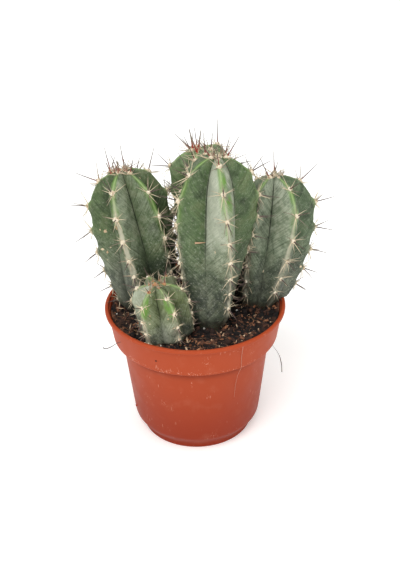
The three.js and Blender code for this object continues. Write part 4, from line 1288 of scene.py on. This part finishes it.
def grown_spine_horn(settings):
    """Grown, hard fibre: smooth pale horn at the root, dark and dry at the tip. New spines have red roots."""
    material, tree, shader = new_material("Grown_spine_horn")
    tone, reached, young = (
        add(tree, "Attribute", out="Fac", attribute_name=label) for label in ("tone", "reached", "young")
    )
    drying = add(tree, "MapRange", {"Value": reached, "From Min": 0.5, "From Max": 1.0})
    # Radial spines keep pale tips
    most = add(tree, "MapRange", {"Value": tone, "To Min": 0.45})
    root = add(tree, "MapRange", {"Value": reached, "From Min": 0.55, "From Max": 0.15})
    colour = layered(tree, settings.pale, [
        (settings.horn, tone),
        (settings.tip, drying, most),
        (settings.young, root, young),
    ])
    plug(tree, shader, {"Base Color": colour, "Roughness": 0.5})
    return material


def felted_plant_wool(settings):
    """Felt of short plant hairs: quite matt and cream, browned in patches, rust-brown where it is new."""
    material, tree, shader = new_material("Felted_plant_wool")
    place = add(tree, "TexCoord", out="Object")
    # Single hairs are too fine to show, so the felt's grain is drawn as tufts
    tufts = add(tree, "TexNoise", {"Vector": place, "Scale": PER_METRE / WOOL_GRAIN, "Detail": 3})
    stops = [(0.28, settings.browned), (0.46, settings.wool), (0.75, settings.bright)]
    colour = add(tree, "ValToRGB", {0: tufts}, stops=stops)
    colour = layered(tree, colour, [(settings.rust, add(tree, "Attribute", out="Fac", attribute_name="new"))])
    bump = add(tree, "Bump", {"Strength": 0.6, "Distance": 0.2 * MM, "Height": tufts})
    plug(tree, shader, {"Base Color": colour, "Roughness": 0.95, "Normal": bump})
    return material


def dry_stuff(name, settings=None):
    """One of the dry, matt stuffs, whose bits differ in tone."""
    *tones, roughness, grain_size, depth = STUFFS[name]
    low, middle, high = (linear(tone) if tone[0] == "#" else getattr(settings, tone) for tone in tones)
    material, tree, shader = new_material(name)
    tone = add(tree, "Attribute", out="Fac", attribute_name="tone")
    place = add(tree, "TexCoord", out="Object")
    grain = add(tree, "TexNoise", {"Vector": place, "Scale": PER_METRE / grain_size, "Detail": 4})
    mixed = add(tree, "Math", {0: grain, 1: 0.5, 2: -0.25}, operation="MULTIPLY_ADD")
    mixed = add(tree, "Math", {0: tone, 1: mixed}, operation="ADD", use_clamp=True)
    colour = add(tree, "ValToRGB", {0: mixed}, stops=[(0.1, low), (0.6, middle), (1.0, high)])
    bump = add(tree, "Bump", {"Strength": 0.7, "Distance": depth * MM, "Height": grain})
    plug(tree, shader, {"Base Color": colour, "Roughness": roughness, "Normal": bump})
    return material


# Operators


class CACTUS_OT_pot(bpy.types.Operator):
    """Turns the moulded nursery pot with its rounded lip, collar, bevel, foot and drain holes"""

    bl_idname = "cactus.pot"
    bl_label = "Pot"

    def execute(self, context):
        lip_bottom = POT_HEIGHT - LIP_HEIGHT
        collar_top = COLLAR_BOTTOM_RADIUS + (COLLAR_TOP_RADIUS - COLLAR_BOTTOM_RADIUS) * (
            (lip_bottom - COLLAR_BOTTOM) / (POT_HEIGHT - COLLAR_BOTTOM)
        )
        inner = RIM_RADIUS - LIP_INSET
        step_top = COLLAR_BOTTOM + WALL_THICKNESS
        # Radius, height and rounding of each corner, from the middle of the underside to that of the floor
        outline = [
            (0, 0, 0),
            (FOOT_RADIUS, 0, 0.6),
            (FOOT_RADIUS, FOOT_HEIGHT, 2.2),
            (WALL_BOTTOM_RADIUS, CHAMFER_TOP, 2.0),
            (WALL_TOP_RADIUS, COLLAR_BOTTOM, 0.6),
            (COLLAR_BOTTOM_RADIUS, COLLAR_BOTTOM, 0.9),
            (collar_top, lip_bottom, 0.6),
            (RIM_RADIUS, lip_bottom, 0.7),
            (RIM_RADIUS, POT_HEIGHT, 1.1),
            (inner, POT_HEIGHT, 1.0),
            (inner, lip_bottom + 0.6, 0.6),
            (collar_top - WALL_THICKNESS, lip_bottom - 0.2, 0.5),
            (COLLAR_BOTTOM_RADIUS - WALL_THICKNESS, step_top + 1, 1.0),
            (WALL_TOP_RADIUS - WALL_THICKNESS, step_top, 0.6),
            (WALL_BOTTOM_RADIUS - WALL_THICKNESS, CHAMFER_TOP + 0.5, 1.5),
            (FOOT_RADIUS - WALL_THICKNESS, FOOT_HEIGHT + 0.5, 0.5),
            (FOOT_RADIUS - WALL_THICKNESS, FLOOR_THICKNESS, 0.5),
            (0, FLOOR_THICKNESS, 0),
        ]
        points, faces = turned(rounded(outline), POT_SIDES)
        pot = piece_from("nursery_pot", points, faces, moulded_polypropylene(context.scene.cactus_pot))
        turns = [2 * math.pi * (hole + 0.5) / DRAIN_HOLES for hole in range(DRAIN_HOLES)]
        drilled(pot, [(DRAIN_CIRCLE * math.cos(t), DRAIN_CIRCLE * math.sin(t)) for t in turns],
                DRAIN_RADIUS, FLOOR_THICKNESS)
        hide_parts("pot")
        return {"FINISHED"}


class CACTUS_OT_soil(bpy.types.Operator):
    """Fills the pot with peat and strews crumbs, bark chips, coir fibres and perlite over it"""

    bl_idname = "cactus.soil"
    bl_label = "Soil"

    def execute(self, context):
        settings = context.scene.cactus_soil
        rng = np.random.default_rng(SOIL_SEED)
        self.make_bed(settings)
        count = settings.clods
        self.strew(
            "peat_clods", "Peat_clods", rng, STREWN_RADIUS - 2,
            sizes=rng.uniform(*CLOD_SIZE, (count, 1)) * rng.uniform(*CLOD_FORM, (count, 3)),
            sink=rng.uniform(*CLOD_SINK, count),
            rough=0.12, detail=2, damp=(0, 1),
        )
        count = settings.crumbs
        self.strew(
            "peat_crumbs", "Peat_crumbs", rng, STREWN_RADIUS,
            sizes=(CRUMB_LEAST + CRUMB_MORE * rng.random((count, 1)) ** CRUMB_POWER)
            * rng.uniform(*CRUMB_FORM, (count, 3)),
            sink=rng.uniform(*CRUMB_SINK, count),
            rough=0.32, detail=1, damp=(0.5, 0.8),
        )
        count = settings.chips
        # A third of the chips lie with their light face up
        self.strew(
            "bark_chips", "Shredded_bark", rng, STREWN_RADIUS - 1.5,
            sizes=rng.uniform(*CHIP_FORM, (count, 3)) * (CHIP_LEAST + rng.random((count, 1)) ** 2),
            sink=rng.uniform(*CHIP_SINK, count),
            rough=0.28, detail=1, damp=(0.65, 0.55), light_from=CHIP_LIGHT_FROM,
        )
        self.strew_fibres(settings, rng)
        count = settings.grains
        self.strew(
            "perlite_grains", "Expanded_perlite", rng, STREWN_RADIUS,
            sizes=rng.uniform(*PERLITE_SIZE, (count, 1)) * rng.uniform(*PERLITE_FORM, (count, 3)),
            sink=PERLITE_SINK,
            rough=0.12, detail=1, damp=(1, 0),
        )
        return {"FINISHED"}

    def make_bed(self, settings):
        """One closed body of peat: crumbly on top, as the pot's inside at the sides and bottom."""
        bottom = FLOOR_THICKNESS + 0.3
        wall = [
            (FOOT_RADIUS - BED_ROOM, bottom),
            (FOOT_RADIUS - BED_ROOM, FOOT_HEIGHT + 1.0),
            (WALL_BOTTOM_RADIUS - BED_ROOM, CHAMFER_TOP + 1.0),
            (WALL_TOP_RADIUS - BED_ROOM, COLLAR_BOTTOM + WALL_THICKNESS),
            (COLLAR_BOTTOM_RADIUS - BED_ROOM, COLLAR_BOTTOM + 2 * WALL_THICKNESS),
        ]
        rows = [ring_at(radius, height, SOIL_SIDES) for radius, height in wall]
        for number in range(SOIL_RINGS, 0, -1):
            ring = ring_at(BED_EDGE * number / SOIL_RINGS, 0.0, SOIL_SIDES)
            ring[:, 2] = bed_height(ring[:, 0], ring[:, 1])
            rows.append(ring)
        points = np.concatenate(rows + [[[0, 0, bottom], [0, 0, soil_height(0, 0)]]])
        count = len(rows) * SOIL_SIDES
        above = points[:, 2] - soil_height(points[:, 0], points[:, 1])
        # Painted light and shade: the higher peat is lighter and its dips darker, times how dry it is
        tones = np.clip(BED_TONE + BED_TONE_RISE * above, 0, BED_TONE_MOST) * self.dryness(points)
        faces = grid_faces(len(rows), SOIL_SIDES, bottom=count, top=count + 1)
        bed = piece_from("peat_bed", points, faces, dry_stuff("Damp_peat", settings), {"tone": tones})
        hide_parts("soil")

    def dryness(self, points):
        """0 where the peat is wet and dark to 1 where it has dried, in zones."""
        wet = np.array([noise.noise(Vector((x / DAMP_ZONE, y / DAMP_ZONE, 3.3))) for x, y in points[:, :2]])
        return np.clip(DRYNESS + DRYNESS_SPREAD * wet, 0, 1)

    def spots(self, rng, count, radius, sink):
        """Random places on the bed, spread evenly. A sink raises one, or lowers it where it is negative."""
        turn = rng.uniform(0, 2 * math.pi, count)
        reach = radius * np.sqrt(rng.random(count))
        x, y = reach * np.cos(turn), reach * np.sin(turn)
        return np.stack([x, y, bed_height(x, y) + sink], -1)

    def strew(self, name, stuff, rng, radius, sizes, sink, rough, detail, damp, light_from=None):
        """Strewn lumps. Damp is how light one is on wet peat, and how much dry peat adds to that."""
        places = self.spots(rng, len(sizes), radius, sink)
        points, faces, tones = lumps(places, sizes, rng, rough, detail)
        if light_from is not None:
            light = LIGHT_FACE_LEAST + LIGHT_FACE_MORE * tones
            tones = np.where(tones > light_from, light, DARK_FACE * tones)
        tones = tones * (damp[0] + damp[1] * self.dryness(points))
        material = dry_stuff(stuff, bpy.context.scene.cactus_soil)
        piece = piece_from(name, points, faces, material, {"tone": tones})

    def strew_fibres(self, settings, rng):
        """Curved threads that lie level on the soil, with an end or the middle a little up."""
        paths = []
        steps = np.linspace(-0.5, 0.5, 6)
        for place in self.spots(rng, settings.fibres, STREWN_RADIUS - 3, 0):
            turn, length = rng.uniform(0, 2 * math.pi), rng.uniform(*FIBRE_LENGTH)
            bend = 2 * rng.uniform(*FIBRE_BEND) * length * steps ** 2
            x = place[0] + length * steps * math.cos(turn) - bend * math.sin(turn)
            y = place[1] + length * steps * math.sin(turn) + bend * math.cos(turn)
            scale = np.minimum(1, (STREWN_RADIUS - 0.5) / np.maximum(np.hypot(x, y), 1e-6))
            x, y = x * scale, y * scale
            z = bed_height(x, y).max() - 0.1 + rng.uniform(*FIBRE_ARCH) * (1 - 4 * steps ** 2)
            paths.append(np.stack([x, y, z], -1))
        points, faces, tones = fibres(paths, FIBRE_RADIUS)
        threads = piece_from("coir_fibres", points, faces, dry_stuff("Coir_fibre"), {"tone": tones})


class CACTUS_OT_stems(bpy.types.Operator):
    """Grows the five ribbed stems with their waxy skin"""

    bl_idname = "cactus.stems"
    bl_label = "Stems"

    def execute(self, context):
        settings = context.scene.cactus_stems
        for name, stem in STEMS.items():
            points, faces, attributes = stem_mesh(stem)
            skin = list(getattr(settings, stem["skin"]))
            label = "Waxy_cuticle_" + name.removeprefix("stem_")
            material = waxy_cuticle(label, skin, stem["furrow_shade"], settings)
            body = piece_from(name + "_body", points, faces, material, attributes)
            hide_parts(name)
        return {"FINISHED"}


class CACTUS_OT_spines(bpy.types.Operator):
    """Sets every cushion's central and radial spines"""

    bl_idname = "cactus.spines"
    bl_label = "Spines"

    def execute(self, context):
        settings = context.scene.cactus_spines
        material = grown_spine_horn(settings)
        thin, thick = settings.radial_radius / MM, settings.central_radius / MM
        tables = {name: reach_table(stem) for name, stem in STEMS.items()}
        for index, (name, stem) in enumerate(STEMS.items()):
            rng = np.random.default_rng(SPINE_SEED + index)
            draws = spine_draws(stem, FIRST_SEED + SEED_STEP * index, rng)
            root, direction, length = draws[:3]
            others = [(STEMS[other], tables[other]) for other in STEMS if other != name]
            room = cut_to_room(root, direction, length, others)
            keep = (room > SPINE_LEAST_SHARE * length) & (room > SPINE_LEAST)
            root, direction, _, stout, tone, young = (values[keep] for values in draws)
            room = room[keep]
            radius = (thin + (thick - thin) * stout) * (0.75 + 0.25 * stem["spine_scale"])
            bend = rng.normal(size=root.shape) * (room * SPINE_BEND)[:, None]
            points, faces, reached, per = spine_mesh(root, direction, room, radius, bend)
            attributes = {"tone": np.repeat(tone, per), "reached": reached, "young": np.repeat(young, per)}
            spines = piece_from(name + "_spines", points, faces, material, attributes)
            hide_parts(name)
        return {"FINISHED"}


class CACTUS_OT_wool(bpy.types.Operator):
    """Sets the felted wool of the spine cushions"""

    bl_idname = "cactus.wool"
    bl_label = "Wool"

    def execute(self, context):
        material = felted_plant_wool(context.scene.cactus_spines)
        for index, (name, stem) in enumerate(STEMS.items()):
            rng = np.random.default_rng(WOOL_SEED + index)
            places, sizes, roots, ways, newest = [], [], [], [], []
            scale = stem["spine_scale"] ** 0.5
            for grown, new, place, up, out, across in self.tufts(stem, scale):
                grown *= scale
                places.append(place - out * WOOL_DEPTH)
                sizes.append(np.array(WOOL_SIZE) * grown * rng.uniform(*WOOL_SPREAD))
                newest.append(stem["rust"] * float(new))
                for _ in range(FUZZ_HAIRS):
                    way = out * rng.uniform(*FUZZ_OUT) + up * rng.uniform(-1, 1) + across * rng.uniform(-1, 1)
                    roots.append(place - out * FUZZ_DEPTH)
                    ways.append(unit(way) * rng.uniform(*FUZZ_LENGTH) * grown)
            points, faces, _ = lumps(np.array(places), np.array(sizes), rng, 0.1, detail=2)
            new = np.repeat(newest, len(points) // len(places))
            piece = piece_from(name + "_wool", points, faces, material, {"new": new})
            self.add_fuzz(piece, roots, ways)
        return {"FINISHED"}

    def tufts(self, stem, scale):
        """Each tuft's growth, whether it is new, its place, and the directions up, out and across."""
        found = [(WOOL_NEW, True, *frame[3:]) for frame in crown_frames(stem)]
        # Tufts at the very tip, which wrap the newest spines
        grown, top = 0.6 + 0.4 * stem["rust"], np.array(stem["top"], float)
        for turn in range(TIP_TUFTS):
            way = np.array([math.cos(TIP_TUFT_TURN * turn), math.sin(TIP_TUFT_TURN * turn), 0.0])
            place = top + way * TIP_TUFT_REACH * scale * turn / TIP_TUFTS
            found.append((grown, True, place, way, np.array([0, 0, 1.0]), np.cross(way, (0, 0, 1))))
        for _, order, share, *frame in cushion_frames(stem):
            found.append((WOOL_YOUNG - WOOL_AGEING * order, share > WOOL_NEWEST_FROM, *frame))
        return found

    def add_fuzz(self, piece, roots, ways):
        """Short hairs that break the outline of the felt."""
        mesh = bmesh.new()
        mesh.from_mesh(piece.data)
        for root, way in zip(roots, ways):
            side = Vector(np.cross(way, (0.3, 0.5, 0.8))).normalized() * FUZZ_RADIUS
            turned_side = Matrix.Rotation(math.radians(120), 3, Vector(way)) @ side
            ring = [side, turned_side, -(side + turned_side)]
            low = [mesh.verts.new((Vector(root) + corner) * MM) for corner in ring]
            tip = mesh.verts.new(Vector(root + way) * MM)
            for corner in range(3):
                mesh.faces.new((low[corner], low[(corner + 1) % 3], tip)).smooth = True
        mesh.to_mesh(piece.data)
        mesh.free()


def around(turn, radius, height):
    """A point at a turn from the front, in degrees, a radius and a height."""
    return np.array([radius * math.sin(math.radians(turn)), -radius * math.cos(math.radians(turn)), height])


class CACTUS_OT_bits(bpy.types.Operator):
    """Lays the scabs, the bit of twig and the loose hairs and specks"""

    bl_idname = "cactus.bits"
    bl_label = "Loose bits"

    def execute(self, context):
        self.lay_scabs()
        self.lay_twig()
        self.hang_hairs()
        self.lay_specks()
        return {"FINISHED"}

    def lay_scabs(self):
        """Rough, flat flakes in the skin's own directions, one piece for each stem that has any."""
        rng = np.random.default_rng(SCAB_SEED)
        dry = dry_stuff("Dry_scab")
        shape, pattern = ball(2)
        for name, stem in STEMS.items():
            points, tones = [], []
            for owner, rib, side, flank, share, length, width, tone in SCABS:
                if owner == name:
                    place, ways = self.frame_on_skin(stem, rib, side, flank, share)
                    rough = 1 + SCAB_ROUGH * rng.normal(size=(len(shape), 1))
                    sizes = (SCAB_SHARE * width, SCAB_SHARE * length, SCAB_THICKNESS)
                    points.append(place + (shape * rough * sizes) @ ways)
                    tones.append(tone)
            if points:
                faces = repeated(pattern, len(points), len(shape))
                attributes = {"tone": np.repeat(tones, len(shape))}
                scabs = piece_from(name + "_scabs", np.concatenate(points), faces, dry, attributes)

    def frame_on_skin(self, stem, rib, side, flank, share):
        """A place on the skin with the directions across the flank, up the stem and out of the skin."""
        place, above = (stem_point(stem, rib, side, flank, t) for t in (share, share + 0.01))
        beside = stem_point(stem, rib, side, flank - 0.02, share)
        up = unit(above - place)
        out = unit(np.cross(up, beside - place))
        if out.dot(place - middle_line(stem, share)[0]) < 0:
            out = -out
        return place, np.array([np.cross(up, out), up, out])

    def lay_twig(self):
        """A bit of twig across a flank of the centre stem."""
        stem = STEMS["stem_centre"]
        path = [stem_point(stem, *TWIG_RIB_SIDE, flank, TWIG_SHARE, lift=TWIG_LIFT) for flank in TWIG_FLANKS]
        points, faces, tones = fibres([path], TWIG_RADIUS, sides=6)
        twig = piece_from("twig", points, faces, dry_stuff("Dry_twig"), {"tone": tones + 0.85})

    def hang_hairs(self):
        """Hairs that hang over the rim and lie on the collar, straight between their corners."""
        for name, stuff, radius, hairs in HAIRS:
            paths = []
            for corners in hairs:
                knots = np.array([around(*corner) for corner in corners])
                steps = np.linspace(0, len(knots) - 1, 6 * len(knots))
                paths.append(np.stack([np.interp(steps, range(len(knots)), line) for line in knots.T], -1))
            points, faces, tones = fibres(paths, radius)
            piece_from(name, points, faces, dry_stuff(stuff), {"tone": tones})

    def lay_specks(self):
        """A speck of soil on the collar and the nub where the pot's plastic was fed in."""
        rng = np.random.default_rng(SPECK_SEED)
        for name, stuff, radius, place in SPECKS:
            places, sizes = np.array([around(*place)]), np.full((1, 3), radius)
            points, faces, tones = lumps(places, sizes, rng, 0.08, detail=2)
            piece_from(name, points, faces, dry_stuff(stuff), {"tone": tones})


class CACTUS_OT_studio(bpy.types.Operator):
    """Sets up the white floor, the soft lights and the camera"""

    bl_idname = "cactus.studio"
    bl_label = "Studio"

    def execute(self, context):
        settings = context.scene.cactus_stage
        self.lay_floor(context, settings)
        for name, towards, angle in LIGHTS:
            light = bpy.data.lights.new(name, "SUN")
            light.angle = math.radians(angle)
            light.energy = settings.key_power if name == "key_light" else settings.fill_power
            lamp = bpy.data.objects.new(name, light)
            lamp.location = towards
            lamp.rotation_euler = Vector(towards).to_track_quat("Z", "Y").to_euler()
            context.scene.collection.objects.link(lamp)
        # The white room is brighter overhead than at the sides
        world = bpy.data.worlds.new("white_room")
        world.use_nodes = True
        room = world.node_tree
        way = add(room, "TexCoord", out="Generated")
        up = add(room, "SeparateXYZ", {0: way}, out="Z")
        glow = add(room, "MapRange", {"Value": up, "To Min": settings.wall_glow, "To Max": settings.sky_glow})
        plug(room, room.nodes["Background"], {"Color": (1, 1, 1, 1), "Strength": glow})
        context.scene.world = world
        lens = bpy.data.cameras.new("camera")
        lens.lens, lens.sensor_width = settings.focal, SENSOR_WIDTH
        lens.clip_start, lens.clip_end = CLIP_START, CLIP_END
        camera = bpy.data.objects.new("camera", lens)
        camera.location = CAMERA_PLACE
        tilt, roll = math.radians(CAMERA_TILT), math.radians(CAMERA_ROLL)
        camera.rotation_euler = (Matrix.Rotation(tilt, 3, "X") @ Matrix.Rotation(roll, 3, "Z")).to_euler()
        context.scene.collection.objects.link(camera)
        context.scene.camera = camera
        context.scene.view_settings.view_transform = "Standard"
        return {"FINISHED"}

    def lay_floor(self, context, settings):
        """A matt painted board: nearly even white, with a painted glow of its own, though it is no lamp,
        which lifts its shadow.
        """
        material, tree, shader = new_material("Matt_painted_board")
        place = add(tree, "TexCoord", out="Object")
        cloud = add(tree, "TexNoise", {"Vector": place, "Scale": PER_METRE / BOARD_CLOUD, "Detail": 3})
        stops = [(0.0, settings.board), (1.0, [min(part * 1.02, 1) for part in settings.board])]
        plug(tree, shader, {
            "Base Color": add(tree, "ValToRGB", {0: cloud}, stops=stops),
            "Roughness": 0.9,
            "Emission Color": settings.board,
            "Emission Strength": settings.board_glow,
        })
        mesh = bpy.data.meshes.new("studio_floor")
        corners = [(x * FLOOR_HALF, y * FLOOR_HALF, 0) for x, y in ((-1, -1), (1, -1), (1, 1), (-1, 1))]
        mesh.from_pydata(corners, [], [(0, 1, 2, 3)])
        mesh.materials.append(material)
        floor = bpy.data.objects.new("studio_floor", mesh)
        context.scene.collection.objects.link(floor)


class CACTUS_PT_panel(bpy.types.Panel):
    """Lists the pieces and what may be changed about them"""

    bl_label = "Potted cactus"
    bl_idname = "CACTUS_PT_panel"
    bl_space_type = "VIEW_3D"
    bl_region_type = "UI"
    bl_category = "Cactus"

    def draw(self, context):
        for operator, group in STEPS:
            box = self.layout.box()
            box.operator(operator.bl_idname)
            if group is None:
                continue
            settings = getattr(context.scene, group)
            for name in settings.bl_rna.properties.keys():
                if name not in ("rna_type", "name"):
                    box.prop(settings, name)


# Each step with its settings. The wool's colours are among those of the spines, and the loose bits have none
STEPS = (
    (CACTUS_OT_studio, "cactus_stage"),
    (CACTUS_OT_pot, "cactus_pot"),
    (CACTUS_OT_soil, "cactus_soil"),
    (CACTUS_OT_stems, "cactus_stems"),
    (CACTUS_OT_spines, "cactus_spines"),
    (CACTUS_OT_wool, None),
    (CACTUS_OT_bits, None),
)
GROUPS = {
    "cactus_pot": CactusPotSettings,
    "cactus_soil": CactusSoilSettings,
    "cactus_stems": CactusStemSettings,
    "cactus_spines": CactusSpineSettings,
    "cactus_stage": CactusStageSettings,
}


def register():
    for name, group in GROUPS.items():
        bpy.utils.register_class(group)
        setattr(bpy.types.Scene, name, bpy.props.PointerProperty(type=group))
    for operator, _ in STEPS:
        bpy.utils.register_class(operator)
    bpy.utils.register_class(CACTUS_PT_panel)


def unregister():
    bpy.utils.unregister_class(CACTUS_PT_panel)
    for operator, _ in reversed(STEPS):
        bpy.utils.unregister_class(operator)
    for name, group in reversed(GROUPS.items()):
        delattr(bpy.types.Scene, name)
        bpy.utils.unregister_class(group)


def main():
    register()
    for operator, _ in STEPS:
        area, name = operator.bl_idname.split(".")
        getattr(getattr(bpy.ops, area), name)()


if __name__ == "__main__":
    main()
